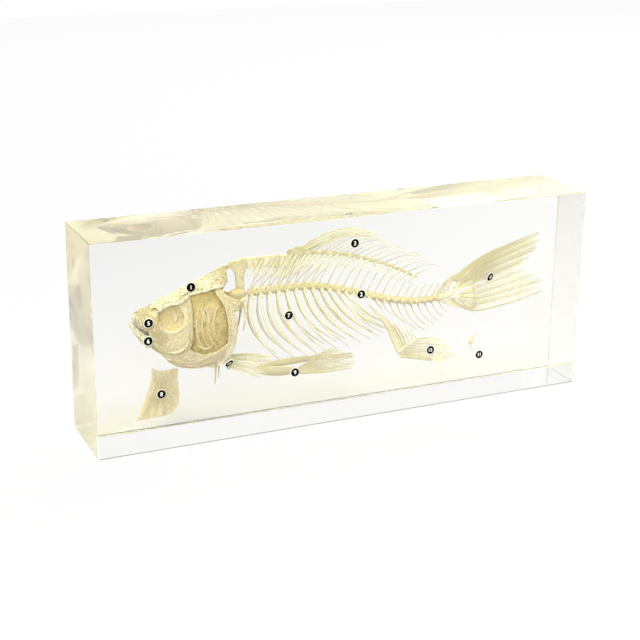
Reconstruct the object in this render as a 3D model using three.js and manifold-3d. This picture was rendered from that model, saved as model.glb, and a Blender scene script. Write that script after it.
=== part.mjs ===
// The skeleton of a small carp-like fish, cast in a block of clear resin as a teaching specimen.
//
// Millimetres, +Z up. The origin is the middle of the block's underside. The head points to -X
// and the block's front face, which the specimen is read through, looks to -Y, so the fish's
// left side is at -Y. The middle plane of the fish is the middle plane of the block.

import * as THREE from "three";
import { mergeVertices } from "three/addons/utils/BufferGeometryUtils.js";
import Module from "manifold-3d";

const wasm = await Module();
wasm.setup();

// ---------------------------------------------------------------- driving dimensions

const BLOCK = { length: 163, depth: 27, height: 65, edge: 0.5 };
const GAP = 0.3; // between neighbouring bones
const CAST_GAP = 0.6; // from a bone to the wall of the pocket that it fills in the resin
const VENT_RADIUS = 0.8; // of the channels from the pockets to the underside

const HEAD = { snoutX: -67, backX: -33, halfWidth: 7.6, widestX: -40, sides: 12, steps: 8 };
const BONE_WALL = 1.2; // thickness of the cheek, gill cover and shoulder bones

const VERTEBRAE = 26;
const TRUNK_VERTEBRAE = 13;
const VERTEBRA_RADIUS = 1.25;
const VERTEBRA_WAIST = 0.85;

const RIB_PAIRS = 13;
const RIB_CAGE_HALF_WIDTH = 6.4;

const DISC = { radius: 1.35, thickness: 0.4, sides: 8 };

const BONE_COLOUR = 0xe6dcae;
const BRIGHT_BONE_COLOUR = 0xf2ebc9;
const INNER_BONE_COLOUR = 0xcdb974;
const RESIN_COLOUR = 0xf6f5ea;
const DISC_COLOUR = 0x0c0c0c;

// ---------------------------------------------------------------- curves of the body

const { clamp, lerp, smoothstep } = THREE.MathUtils;

// Height of the backbone's centre line: level behind the head, one soft step down over the
// trunk, and a slight rise into the tail.
function columnZ(x) {
  return 42.5 - 9.5 * smoothstep(x, -15, 28) + 0.016 * Math.max(0, x - 30) ** 2;
}

// Place of the front of vertebra i along the fish: they shorten evenly towards the tail.
function vertebraX(i) {
  return -31.6 + 2.95 * i - 0.011 * i * i;
}

// Height of the line that the dorsal fin's rays stand on.
function dorsalZ(x) {
  return 53.8 - 0.05 * (x + 14) - 0.0066 * (x + 14) ** 2;
}

// Height of the skull roof and of the throat along the head.
function roofZ(x) {
  const back = x + 32;
  const forehead = 53.6 + 0.25 * back - 0.0045 * back ** 2;
  const snout = 41 + 0.3 * (x + 66.5);
  return Math.max(forehead, snout);
}

function throatZ(x) {
  const rise = x < -47 ? 0.038 : 0.03;
  return 20.9 + rise * (x + 47) ** 2 + 2 * Math.max(0, x + 39);
}

function headHalfWidth(x) {
  const ahead = Math.max(0, HEAD.widestX - x) / 28.5;
  const behind = Math.max(0, x - HEAD.widestX);
  return HEAD.halfWidth * Math.sqrt(1 - ahead ** 2) - 0.2 * behind;
}

// ---------------------------------------------------------------- making solids

function solidOf(geometry) {
  const bare = geometry.clone();
  bare.deleteAttribute("normal");
  bare.deleteAttribute("uv");
  const merged = mergeVertices(bare, 1e-4);
  return new wasm.Manifold(
    new wasm.Mesh({
      numProp: 3,
      vertProperties: merged.attributes.position.array,
      triVerts: Uint32Array.from(merged.index.array),
    }),
  );
}

function joined(solids) {
  return solids.reduce((whole, piece) => whole.add(piece));
}

function curveThrough(points) {
  return new THREE.CatmullRomCurve3(points.map(([x, y, z]) => new THREE.Vector3(x, y, z)));
}

// A point on a curve, or past either end of it along its end tangent.
function reach(curve, t) {
  const on = clamp(t, 0, 1);
  const past = (t - on) * curve.getLength();
  return curve.getPoint(on).addScaledVector(curve.getTangent(on), past);
}

// A long thin bone: a cylinder of a few sides bent along a curve. radius(t) is its half-width
// in the plane of the fish, and flat times that its half-thickness across it. grow widens it
// and lengthens it at both ends.
function rod(curve, radius, { sides = 3, steps = 2, flat = 1, grow = 0 } = {}) {
  const turn = sides % 2 ? 0 : Math.PI / sides;
  const geometry = new THREE.CylinderGeometry(1, 1, 1, sides, steps, false, turn);
  const position = geometry.attributes.position;
  const spread = 1 / Math.cos(turn);
  const past = grow / curve.getLength();
  for (let i = 0; i < position.count; i += 1) {
    const t = position.getY(i) + 0.5;
    const along = curve.getTangent(t);
    const across = new THREE.Vector3(0, 1, 0).addScaledVector(along, -along.y).normalize();
    const up = across.clone().cross(along);
    const place = reach(curve, lerp(-past, 1 + past, t));
    place.addScaledVector(across, position.getX(i) * spread * (radius(t) * flat + grow));
    place.addScaledVector(up, position.getZ(i) * spread * (radius(t) + grow));
    position.setXYZ(i, place.x, place.y, place.z);
  }
  return solidOf(geometry);
}

// A flat bone: an outline of [x, z] corners, from front to back across the fish.
function plate(outline, front, back) {
  const shape = new THREE.Shape(outline.map(([x, z]) => new THREE.Vector2(x, z)));
  const depth = back - front;
  const geometry = new THREE.ExtrudeGeometry(shape, { depth, bevelEnabled: false });
  geometry.rotateX(Math.PI / 2);
  geometry.translate(0, back, 0);
  return solidOf(geometry);
}

// An outline with every corner moved out by a distance along the mean of its edges' normals.
function grown(outline, distance) {
  const corners = outline.map(([x, z]) => new THREE.Vector2(x, z));
  const turn = THREE.ShapeUtils.isClockWise(corners) ? 1 : -1;
  return corners.map((corner, i) => {
    const before = corners.at(i - 1);
    const after = corners[(i + 1) % corners.length];
    const into = corner.clone().sub(before).normalize();
    const out = after.clone().sub(corner).normalize();
    const along = into.add(out).normalize();
    return [corner.x - turn * along.y * distance, corner.y + turn * along.x * distance];
  });
}

// A sheet of twice the half thickness over surface(u, v), with u and v from 0 to 1, reaching
// past each of its four edges by that half thickness.
function sheet(surface, { across, along, half }) {
  const geometry = new THREE.BoxGeometry(1, 1, 1, across, along, 1);
  const position = geometry.attributes.position;
  const step = 0.01;
  for (let i = 0; i < position.count; i += 1) {
    const u = position.getX(i) + 0.5;
    const v = position.getY(i) + 0.5;
    const du = surface(u + step, v).sub(surface(u - step, v)).normalize();
    const dv = surface(u, v + step).sub(surface(u, v - step)).normalize();
    const normal = du.clone().cross(dv).normalize();
    const place = surface(u, v);
    place.addScaledVector(du, (u === 1) * half - (u === 0) * half);
    place.addScaledVector(dv, (v === 1) * half - (v === 0) * half);
    place.addScaledVector(normal, 2 * position.getZ(i) * half);
    position.setXYZ(i, place.x, place.y, place.z);
  }
  return solidOf(geometry);
}

// ---------------------------------------------------------------- rows of like bones
//
// A row is a set of long bones side by side. bone(s) is the centre line of the bone at s, from
// 0 at the first to 1 at the last.

function rowBones(row) {
  const bones = [];
  for (let i = 0; i < row.count; i += 1) {
    const s = i / (row.count - 1);
    const thick = lerp(row.thick[0], row.thick[1], s);
    const radius = (t) => thick * (1 - 0.35 * t);
    bones.push(rod(row.bone(s), radius, { sides: row.sides, steps: row.steps }));
  }
  return joined(bones);
}

function rowPocket(row) {
  const half = Math.max(...row.thick) + CAST_GAP;
  const surface = (u, v) => reach(row.bone(u), v);
  return sheet(surface, { across: Math.round(row.count / 3), along: row.steps, half });
}

// Rays or supports of a fin: roots and tips lie on two curves, and each ray bows up by lift.
function fanRow({ roots, tips, count, thick, lift = [0, 0], sides = 3, steps = 2 }) {
  const rootLine = curveThrough(roots);
  const tipLine = curveThrough(tips);
  function bone(s) {
    const root = reach(rootLine, s);
    const tip = reach(tipLine, s);
    const middle = root.clone().lerp(tip, 0.45);
    middle.z += lerp(lift[0], lift[1], s);
    return new THREE.CatmullRomCurve3([root, middle, tip]);
  }
  return { bone, count, thick, sides, steps };
}

// Neural spines stand on vertebrae first to last, and lean back towards the dorsal fin.
function neuralRow(first, last) {
  function bone(s) {
    const x = vertebraX(lerp(first, last, s));
    const height = Math.max(0.58 * (dorsalZ(x + 3) - columnZ(x)), 4.2);
    const rootX = x + 0.8;
    const rootZ = columnZ(rootX) + 0.8;
    return curveThrough([
      [rootX, 0, rootZ],
      [rootX + 0.55 * height, 0, rootZ + height],
    ]);
  }
  return { bone, count: last - first + 1, thick: [0.5, 0.4], sides: 3, steps: 1 };
}

// Haemal spines hang under the tail's vertebrae. The first ones stop above the anal fin.
function haemalRow(first, last) {
  function bone(s) {
    const x = vertebraX(lerp(first, last, s));
    const drop = Math.min(3.4 + 0.9 * (x - 11), 9, 9 - 0.45 * (x - 21));
    const rootX = x + 0.8;
    const rootZ = columnZ(rootX) - 0.8;
    return curveThrough([
      [rootX, 0, rootZ],
      [rootX + 0.75 * drop, 0, rootZ - drop],
    ]);
  }
  return { bone, count: last - first + 1, thick: [0.5, 0.35], sides: 3, steps: 1 };
}

// Ribs of one side: from the backbone's flank out, down and back round the belly.
function ribRow(side) {
  function bone(s) {
    const rootX = vertebraX(s * (RIB_PAIRS - 1)) + 0.8;
    const rootZ = columnZ(rootX) - 1;
    const tipX = rootX + 8.5 + 5 * s;
    const tipZ = 21 + 1.6 * s;
    const wide = side * (RIB_CAGE_HALF_WIDTH - 2.4 * s);
    const bow = 0.8 + 1.6 * s;
    const drop = rootZ - tipZ;
    return curveThrough([
      [rootX, side * 0.9, rootZ],
      [lerp(rootX, tipX, 0.3) - bow, 0.72 * wide, rootZ - 0.34 * drop],
      [lerp(rootX, tipX, 0.62) - bow, wide, rootZ - 0.7 * drop],
      [tipX, 0.86 * wide, tipZ],
    ]);
  }
  return { bone, count: RIB_PAIRS, thick: [0.55, 0.45], sides: 3, steps: 3 };
}

// ---------------------------------------------------------------- head

// The outer form of the head, grown all round or shrunk by a negative amount: sections across
// the fish, wide at the gill covers, with a flattened roof, and closer together at the snout.
function headForm(grow) {
  const geometry = new THREE.CylinderGeometry(1, 1, 1, HEAD.sides, HEAD.steps);
  const position = geometry.attributes.position;
  const front = HEAD.snoutX - grow;
  const length = HEAD.backX - HEAD.snoutX + 2 * grow;
  for (let i = 0; i < position.count; i += 1) {
    const x = front + length * (0.5 - position.getY(i)) ** 1.3;
    const station = clamp(x, HEAD.snoutX, HEAD.backX);
    const cos = position.getX(i);
    const sin = position.getZ(i);
    const top = roofZ(station);
    const bottom = throatZ(station);
    const level = lerp(bottom, top, 0.45);
    const narrow = 1 - 0.3 * Math.max(0, sin) ** 2;
    const halfWidth = headHalfWidth(station) + grow;
    const halfHeight = (sin > 0 ? top - level : level - bottom) + grow;
    const y = Math.sign(cos) * Math.abs(cos) ** 0.8 * halfWidth * narrow;
    const z = level + Math.sign(sin) * Math.abs(sin) ** 0.85 * halfHeight;
    position.setXYZ(i, x, y, z);
  }
  return solidOf(geometry);
}

const headSolid = headForm(0);
const headShell = headSolid.subtract(headForm(-BONE_WALL));
const ORBIT = { x: -57, z: 38.6, radius: 4 };

function discAlongY(x, z, radius, halfDepth, sides = 12) {
  const geometry = new THREE.CylinderGeometry(radius, radius, 2 * halfDepth, sides);
  geometry.translate(x, 0, z);
  return solidOf(geometry);
}

// Part of the head's shell on one side: side is -1 for the fish's left.
function shellPiece(outline, side) {
  const front = side < 0 ? -9 : 0.2;
  return headShell.intersect(plate(outline, front, front + 8.8));
}

const BRAINCASE = [
  [-52, 46.5],
  [-52, 40.5],
  [-46, 39],
  [-38.6, 40.5],
  [-38.6, 46.5],
];

function skull() {
  const roof = [
    [-62.6, 44],
    [-62.6, 40.6],
    [-60.4, 41.4],
    [-57.6, 43],
    [-54.6, 43.2],
    [-51.8, 45.6],
    [-44, 46.4],
    [-40.6, 47],
    [-39, 49],
    [-38.6, 54],
    [-46, 54],
  ];
  const septum = [
    [-62, 43],
    [-60.5, 38.6],
    [-51.8, 38.2],
    [-51.8, 45],
  ];
  const nostril = discAlongY(-62.1, 41.6, 0.8, 9, 8).subtract(discAlongY(-62.1, 41.6, 2, 1.6, 8));
  const orbit = discAlongY(ORBIT.x, ORBIT.z, ORBIT.radius + 0.2, 9);
  const braincase = headForm(-3.4).intersect(plate(BRAINCASE, -9, 9));
  const top = headSolid.intersect(plate(roof, -9, 9)).subtract(nostril).subtract(orbit);
  return joined([top, braincase, plate(septum, -0.5, 0.5)]);
}

// Bones round the eye and the bar in front of the gill cover.
function cheek(side) {
  const outline = [
    [-62.3, 40.4],
    [-60.2, 41],
    [-57.4, 42.6],
    [-54.4, 42.8],
    [-51.7, 45.2],
    [-50.8, 45.2],
    [-50.8, 33],
    [-51.6, 29.6],
    [-54.6, 27.9],
    [-60, 27.9],
    [-61, 29],
    [-61, 33.4],
    [-62.3, 36],
  ];
  const orbit = discAlongY(ORBIT.x, ORBIT.z, ORBIT.radius, 9);
  return shellPiece(outline, side).subtract(orbit);
}

function upperJaw() {
  const outline = [
    [-67.3, 42.6],
    [-62.9, 43.4],
    [-62.6, 37.4],
    [-63.9, 35.4],
    [-65.4, 36.4],
    [-67.3, 38.6],
  ];
  return headSolid.intersect(plate(outline, -6, 6));
}

// Two branches that meet at the chin, below and ahead of the upper jaw.
function jawBranch(side, grow = 0) {
  const line = curveThrough([
    [-68, side * 0.3, 37.3],
    [-66, side * 1.7, 34.8],
    [-63.2, side * 3.2, 31.6],
  ]);
  return rod(line, (t) => 0.7 + 0.9 * t, { sides: 6, steps: 3, flat: 0.5, grow });
}

const CHIN = [
  [-68.3, 38],
  [-67.4, 38.2],
  [-64.8, 34.8],
  [-65.6, 33.1],
  [-67.2, 34.8],
];

function lowerJaw() {
  return joined([jawBranch(-1), jawBranch(1), plate(CHIN, -0.6, 0.6)]);
}

// The curved bars that the gills sat on, filling the gill chamber.
function gillArches() {
  const chamber = [
    [-50.4, 44.4],
    [-44, 44.8],
    [-42.4, 43.4],
    [-40.9, 39.8],
    [-40, 35.6],
    [-39.8, 31.6],
    [-40.4, 28.8],
    [-42, 26.2],
    [-46.8, 25.6],
    [-50, 27.6],
    [-50.4, 33],
  ];
  const body = headForm(-BONE_WALL - 0.9).intersect(plate(chamber, -9, 9));
  const room = headForm(GAP - 3.4).intersect(plate(grown(BRAINCASE, GAP), -9, 9));
  const slots = [];
  for (let i = 0; i < 3; i += 1) {
    const x = -48.2 + 2.8 * i;
    const slot = curveThrough([
      [x + 1.4, -7, 42.6],
      [x - 0.2, -7, 36],
      [x + 1.2, -7, 28.4],
    ]);
    slots.push(rod(slot, () => 0.35, { sides: 4, flat: 7 }));
  }
  return body.subtract(room).subtract(joined(slots));
}

const GILL_COVER = [
  [-50.5, 45.2],
  [-44.2, 45.4],
  [-42, 42.4],
  [-40.5, 39.4],
  [-39.5, 35.6],
  [-39.3, 31.6],
  [-40, 28.4],
  [-42, 25.8],
  [-50.2, 28.4],
];

// The thin bone that hangs from each side of the shoulder girdle. The right one sits further
// back.
function splint(side, grow = 0) {
  const x = side < 0 ? -43.1 : -41.3;
  const line = curveThrough([
    [x + 0.4, side * 3.2, 24.4],
    [x, side * 3.6, 19.4],
    [x - 0.1, side * 3.4, 16],
  ]);
  return rod(line, (t) => 0.5 - 0.15 * t, { grow });
}

// The shoulder girdle: the crescent behind the gills, its plate towards the backbone and the
// splint.
function shoulder(side) {
  const outline = [
    [-43.8, 46.2],
    [-41.2, 46.4],
    [-39.4, 43.4],
    [-36.4, 42.4],
    [-35, 41.6],
    [-35.2, 39.2],
    [-36.4, 39],
    [-36.8, 36],
    [-36.6, 31.4],
    [-37.2, 28],
    [-39.4, 24.4],
    [-42, 20],
    [-46, 20],
    [-45.6, 23],
    [-41.6, 25.4],
    [-39.6, 28.4],
    [-39, 31.6],
    [-39.2, 35.6],
    [-40.2, 39.2],
    [-41.6, 42.2],
  ];
  return shellPiece(outline, side).add(splint(side));
}

// The solid floor of the head: the rays under the gill covers and the bone between them.
function throat() {
  const outline = [
    [-59.6, 27.5],
    [-54.4, 27.5],
    [-51.2, 29.2],
    [-50.4, 27.2],
    [-46.9, 25.1],
    [-42.3, 25.5],
    [-45.9, 23.3],
    [-46.4, 20],
    [-62, 20],
  ];
  return headSolid.intersect(plate(outline, -9, 9));
}

// ---------------------------------------------------------------- backbone

// A run of vertebrae, each wide at its two ends and narrow between them. raise lifts the run
// and takes that much off its height, which leaves room for the rib heads below.
function vertebrae(first, last, raise = 0) {
  const points = [];
  for (let i = first; i <= last; i += 1) {
    points.push([vertebraX(i), 0, columnZ(vertebraX(i)) + raise]);
  }
  const count = last - first;
  const radius = (t) => (Math.round(2 * count * t) % 2 ? VERTEBRA_WAIST : VERTEBRA_RADIUS) - raise;
  const flat = VERTEBRA_RADIUS / (VERTEBRA_RADIUS - raise);
  return rod(curveThrough(points), radius, { sides: 5, steps: 2 * count, flat });
}

const neuralTrunk = neuralRow(0, TRUNK_VERTEBRAE - 1);
const neuralTail = neuralRow(TRUNK_VERTEBRAE, VERTEBRAE - 2);
const haemalTail = haemalRow(TRUNK_VERTEBRAE + 3, VERTEBRAE - 2);

function spineTrunk() {
  return vertebrae(0, TRUNK_VERTEBRAE, 0.45).add(rowBones(neuralTrunk));
}

// One side of the rib cage, with the rib heads joined along the lower flank of the backbone.
function ribs(side) {
  const stations = [0, 3, 6, 9, 11, 12.8].map(vertebraX);
  const heads = rod(
    curveThrough(stations.map((x) => [x, side * 0.7, columnZ(x) - 1.05])),
    () => 0.4,
    { sides: 4, steps: 5, flat: 1.15 },
  );
  return heads.add(rowBones(ribRow(side)));
}

function spineTail() {
  const column = vertebrae(TRUNK_VERTEBRAE, VERTEBRAE).translate([GAP, 0, 0]);
  return joined([column, rowBones(neuralTail), rowBones(haemalTail)]);
}

// The strong process that hangs from each side of the fused vertebrae.
function napeProcess(side, grow = 0) {
  const line = curveThrough([
    [-33.6, side * 1.4, 41.8],
    [-33, side * 2.6, 38.4],
    [-33.9, side * 3.6, 31.4],
  ]);
  return rod(line, (t) => 0.8 - 0.4 * t, { sides: 4, steps: 3, grow });
}

// The fused vertebrae behind the skull, and the plate that stands on them.
function napeBones() {
  const body = new THREE.SphereGeometry(1, 8, 6);
  body.scale(2.9, 2.4, 2.1);
  body.translate(-35, 0, 42.4);
  const neck = [
    [-35.3, 43],
    [-35.6, 48],
    [-36, 50],
    [-38.2, 51.6],
    [-38.2, 52.8],
    [-31.6, 53.9],
    [-31.4, 51.4],
    [-32.8, 48],
    [-32.6, 43],
  ];
  return joined([solidOf(body), plate(neck, -0.7, 0.7), napeProcess(-1), napeProcess(1)]);
}

function predorsalBones() {
  const outline = [
    [-31, 51.3],
    [-31.2, 53.8],
    [-25, 53.7],
    [-19.2, 53.4],
    [-19.2, 50.9],
    [-24, 50.7],
  ];
  return plate(outline, -0.5, 0.5);
}

// ---------------------------------------------------------------- fins

const dorsalSupports = fanRow({
  roots: [-15.4, -5, 8, 24.6].map((x) => [x, 0, dorsalZ(x) - 0.7]),
  tips: [[-16.8, 0, 50.6], [-6.8, 0, 49.8], [6.6, 0, 47], [23.8, 0, 40.6]],
  count: 13,
  thick: [0.55, 0.35],
  steps: 1,
});
const dorsalRays = fanRow({
  roots: [-12.4, -2, 10, 25].map((x) => [x, 0, dorsalZ(x) + 0.1]),
  tips: [[12.6, 0, 56.4], [18, 0, 53.4], [26, 0, 48.6], [35.5, 0, 43]],
  count: 14,
  thick: [0.5, 0.38],
  lift: [3, 0.4],
});

function dorsalSpine() {
  const line = curveThrough([
    [-14.6, 0, 54],
    [-7, 0, 57.6],
    [0, 0, 59.2],
    [10.5, 0, 57.6],
  ]);
  return rod(line, (t) => 0.9 - 0.5 * t, { sides: 4, steps: 4, flat: 0.6 });
}

function dorsalBase() {
  const line = curveThrough([-18, -8, 2, 12, 19, 25.4].map((x) => [x, 0, dorsalZ(x) - 0.3]));
  return rod(line, (t) => 0.8 - 0.3 * t, { sides: 4, steps: 5, flat: 0.8 });
}

const DORSAL_STUB = [
  [-18.9, 52.8],
  [-18.8, 55.3],
  [-15.2, 55.3],
  [-13, 53.4],
  [-15, 52.9],
];

function dorsalFin() {
  const stub = plate(DORSAL_STUB, -0.5, 0.5);
  return joined([dorsalBase(), stub, dorsalSpine(), rowBones(dorsalSupports), rowBones(dorsalRays)]);
}

const analSupports = fanRow({
  roots: [[19.2, 0, 16.8], [23, 0, 19.2], [26.8, 0, 21.2]],
  tips: [[9.2, 0, 33.8], [15.6, 0, 26.6], [25.4, 0, 22.6]],
  count: 5,
  thick: [0.75, 0.45],
  lift: [2.4, 0],
});
const analRays = fanRow({
  roots: [[19.8, 0, 15.4], [23.2, 0, 18], [27.2, 0, 20.4]],
  tips: [[38, 0, 9.8], [42, 0, 12.5], [37, 0, 18.2]],
  count: 7,
  thick: [0.6, 0.45],
  steps: 1,
});

function analBase() {
  const line = curveThrough([
    [19.2, 0, 16],
    [23, 0, 18.6],
    [27.2, 0, 20.8],
  ]);
  return rod(line, () => 0.7, { sides: 4 });
}

function analFin() {
  return joined([analBase(), rowBones(analSupports), rowBones(analRays)]);
}

// Each lobe of the tail fin has fused plates behind the last vertebra, an edge and its rays.
const UPPER_LOBE = {
  plates: [[38.3, 35.6], [40.6, 39.8], [46.6, 43.6], [47, 36.3]],
  edge: [[39, 0, 39.2], [42, 0, 41], [50, 0, 45.3], [60, 0, 49.2]],
  rays: fanRow({
    roots: [[42, 0, 40.2], [45.4, 0, 40.4], [45.6, 0, 36.9]],
    tips: [[70, 0, 51.6], [68, 0, 45], [62, 0, 39]],
    count: 8,
    thick: [0.65, 0.55],
    steps: 1,
  }),
};
const LOWER_LOBE = {
  plates: [[38.7, 35.2], [46.6, 35.8], [48.4, 27.6], [46, 26.9], [38.6, 31.4]],
  edge: [[38.8, 0, 31.4], [42, 0, 29], [48, 0, 26.9], [62, 0, 28.2], [72.6, 0, 30.6]],
  rays: fanRow({
    roots: [[45.4, 0, 35.2], [46.6, 0, 31.4], [46, 0, 28]],
    tips: [[61, 0, 37.4], [70, 0, 34], [73, 0, 31.4]],
    count: 8,
    thick: [0.65, 0.55],
    steps: 1,
  }),
};

function tailEdge(lobe) {
  const line = curveThrough(lobe.edge);
  return rod(line, (t) => 0.65 - 0.25 * t, { sides: 4, steps: lobe.edge.length });
}

function tailLobe(lobe) {
  return joined([plate(lobe.plates, -0.5, 0.5), tailEdge(lobe), rowBones(lobe.rays)]);
}

// Paired fins. Each stands on a root bone: a short stub under the shoulder for a pectoral fin,
// and a long pelvic bone for a pelvic fin. The left pectoral fin hangs lower than the right.
const PECTORAL_LEFT = {
  root: [[-38.7, -4, 23.6], [-38.7, -4.3, 22], [-38.9, -4.4, 20.4]],
  width: () => 0.8,
  rays: fanRow({
    roots: [[-38.3, -4.4, 21.9], [-38.6, -4.4, 20.7]],
    tips: [[-25.6, -7, 16.9], [-29.6, -8, 16]],
    count: 5,
    thick: [0.5, 0.4],
    steps: 1,
  }),
};
const PECTORAL_RIGHT = {
  root: [[-38.7, 4, 23.6], [-38.7, 4.3, 22], [-38.9, 4.4, 20.4]],
  width: () => 0.8,
  rays: fanRow({
    roots: [[-38.3, 4.4, 22], [-38.6, 4.4, 20.7]],
    tips: [[-21, 7, 19], [-22.4, 7.2, 17.2]],
    count: 5,
    thick: [0.5, 0.4],
    steps: 1,
  }),
};
const PELVIC_LEFT = {
  root: [[-30.6, -1.2, 18.2], [-23, -2, 17.2], [-15.2, -2.9, 16]],
  width: (t) => 0.5 + 2.6 * t * (1.1 - t),
  rays: fanRow({
    roots: [[-15.8, -2.6, 17], [-16, -3.2, 15.4]],
    tips: [[5.2, -4.2, 17], [3.2, -5, 14.6]],
    count: 5,
    thick: [0.5, 0.4],
    steps: 1,
  }),
};
const PELVIC_RIGHT = {
  root: [[-28.6, 1.2, 17.4], [-21, 2, 18], [-13.4, 2.9, 16.8]],
  width: (t) => 0.5 + 2.6 * t * (1.1 - t),
  rays: fanRow({
    roots: [[-14, 2.6, 17.6], [-14.2, 3.2, 16.2]],
    tips: [[-0.4, 3.6, 19.8], [4.8, 4.4, 17.6], [6, 4.8, 16]],
    count: 5,
    thick: [0.5, 0.4],
    steps: 1,
  }),
};

function finRoot(pair, grow = 0) {
  return rod(curveThrough(pair.root), pair.width, { sides: 4, flat: 0.6, grow });
}

function pairedFin(pair) {
  return finRoot(pair).add(rowBones(pair.rays));
}

// ---------------------------------------------------------------- loose pieces and discs

const COVER_HALF = 0.4; // half the thickness of the loose gill cover
const LOOSE_COVER = [
  [-62.2, 23.2],
  [-60, 21.9],
  [-54.3, 21.9],
  [-53.8, 14],
  [-54.5, 9.6],
  [-56.2, 7.6],
  [-67.6, 7],
  [-65.4, 13],
  [-63.2, 19],
];

const SMALL_BONE = [
  [45.6, 15.3],
  [45.5, 17.4],
  [47.2, 18.1],
  [47.6, 16],
];

function smallBoneArm(grow = 0) {
  const line = curveThrough([
    [49.2, 0, 19],
    [46.6, 0, 17.8],
    [45.6, 0, 16],
    [47.4, 0, 13],
  ]);
  return rod(line, (t) => 0.6 - 0.25 * t, { steps: 4, grow });
}

// Numbered discs, each just in front of the bone that it names: number, place and facing.
const FRONT = [0, -1, 0];
const DISCS = [
  [1, [-50.3, -4.2, 47.4], FRONT],
  [2, [5.6, -1.8, 38], FRONT],
  [3, [3.4, -0.9, 54.5], FRONT],
  [4, [51.5, -1.8, 38.3], [0.43, -0.85, -0.3]],
  [5, [-63.6, -5, 38.2], FRONT],
  [6, [-63.8, -4.6, 32.6], FRONT],
  [7, [-19.9, -6.4, 35.3], FRONT],
  [8, [-59.5, -0.9, 14.5], FRONT],
  [9, [-17.2, -4.2, 16], FRONT],
  [10, [-39.2, -6.3, 22.6], [0.32, -0.71, -0.61]],
  [11, [49.2, -0.6, 11.8], FRONT],
  [12, [30.9, -1, 16], FRONT],
];

function discSolid([, place, facing], grow = 0) {
  const radius = DISC.radius + grow;
  const height = DISC.thickness + 2 * grow;
  const geometry = new THREE.CylinderGeometry(radius, radius, height, DISC.sides);
  const front = new THREE.Vector3(...FRONT);
  const normal = new THREE.Vector3(...facing).normalize();
  geometry.applyQuaternion(new THREE.Quaternion().setFromUnitVectors(front, normal));
  geometry.translate(...place);
  return solidOf(geometry);
}

// ---------------------------------------------------------------- the resin block

// The middle plane of the fish behind the head, with its unpaired fins and the spines of the
// backbone, lies in one flat pocket of this outline.
const MIDDLE_POCKET = {
  half: 1.2,
  outline: [
    [-40, 53.2],
    [-31, 54.6],
    [-19.7, 54.3],
    [-19.6, 56],
    [-15.2, 56.2],
    [-8, 58.8],
    [0, 60.6],
    [11.6, 58.8],
    [21, 54.2],
    [36.8, 44.2],
    [36.8, 42],
    [26, 40.4],
    [38.4, 40.2],
    [49, 47],
    [60, 51.4],
    [71.4, 53.4],
    [69.6, 45],
    [63.4, 38.4],
    [74.2, 31.8],
    [73.4, 29.4],
    [62, 26.7],
    [47, 25],
    [37, 28.6],
    [28.6, 21.6],
    [38.4, 19.4],
    [43.4, 12.8],
    [38.6, 8.6],
    [19.4, 14.2],
    [17.6, 17],
    [13.4, 26.4],
    [8, 33.2],
    [4, 38.6],
    [-14, 42],
    [-40, 42],
  ],
};

function polishedBlock() {
  const { length, depth, height, edge } = BLOCK;
  const right = length / 2 - edge;
  const back = depth / 2 - edge;
  const corners = [[-right, -back], [right, -back], [right, back], [-right, back]];
  const shape = new THREE.Shape(corners.map(([x, y]) => new THREE.Vector2(x, y)));
  const geometry = new THREE.ExtrudeGeometry(shape, {
    depth: height - 2 * edge,
    bevelThickness: edge,
    bevelSize: edge,
    bevelSegments: 1,
  });
  geometry.translate(0, 0, edge);
  return solidOf(geometry);
}

// Where the resin leaves room for each group of bones.
function pockets() {
  const nape = [
    [-39.6, 39],
    [-39.6, 47],
    [-31.2, 47],
    [-31.2, 39],
  ];
  const backbone = curveThrough([-34, -24, -14, -4, 6, 16, 26, 34, 39].map((x) => [x, 0, columnZ(x)]));
  const flatBone = (outline, half) => plate(grown(outline, CAST_GAP), -half - CAST_GAP, half + CAST_GAP);
  const sides = [-1, 1];
  const pairs = [PECTORAL_LEFT, PECTORAL_RIGHT, PELVIC_LEFT, PELVIC_RIGHT];
  const rows = [ribRow(-1), ribRow(1), ...pairs.map((pair) => pair.rays)];
  return joined([
    headForm(CAST_GAP + 2 * GAP),
    plate(MIDDLE_POCKET.outline, -MIDDLE_POCKET.half, MIDDLE_POCKET.half),
    plate(nape, -3, 3),
    rod(backbone, () => VERTEBRA_RADIUS, { sides: 6, steps: 6, grow: CAST_GAP + GAP }),
    ...rows.map(rowPocket),
    ...sides.map((side) => jawBranch(side, CAST_GAP)),
    flatBone(CHIN, 0.6),
    ...sides.map((side) => splint(side, CAST_GAP)),
    ...sides.map((side) => napeProcess(side, CAST_GAP)),
    ...pairs.map((pair) => finRoot(pair, CAST_GAP)),
    ...DISCS.map((disc) => discSolid(disc, CAST_GAP)),
    flatBone(LOOSE_COVER, COVER_HALF),
    smallBoneArm(CAST_GAP),
    flatBone(SMALL_BONE, 0.4),
  ]);
}

// Channels from each pocket straight down to the underside: [x, y, top z].
const VENTS = [
  [-60, 0, 8],
  [-20, -2.6, 16],
  [-18, 2.6, 16],
  [34, 0, 12],
  [49.2, -0.6, 11.6],
];

function vent([x, y, top]) {
  const geometry = new THREE.CylinderGeometry(VENT_RADIUS, VENT_RADIUS, top + 1, 6);
  geometry.rotateX(Math.PI / 2);
  geometry.translate(x, y, (top - 1) / 2);
  return solidOf(geometry);
}

function resinBlock() {
  return polishedBlock().subtract(pockets()).subtract(joined(VENTS.map(vent)));
}

// ---------------------------------------------------------------- the specimen

const specimen = new THREE.Group();

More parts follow.
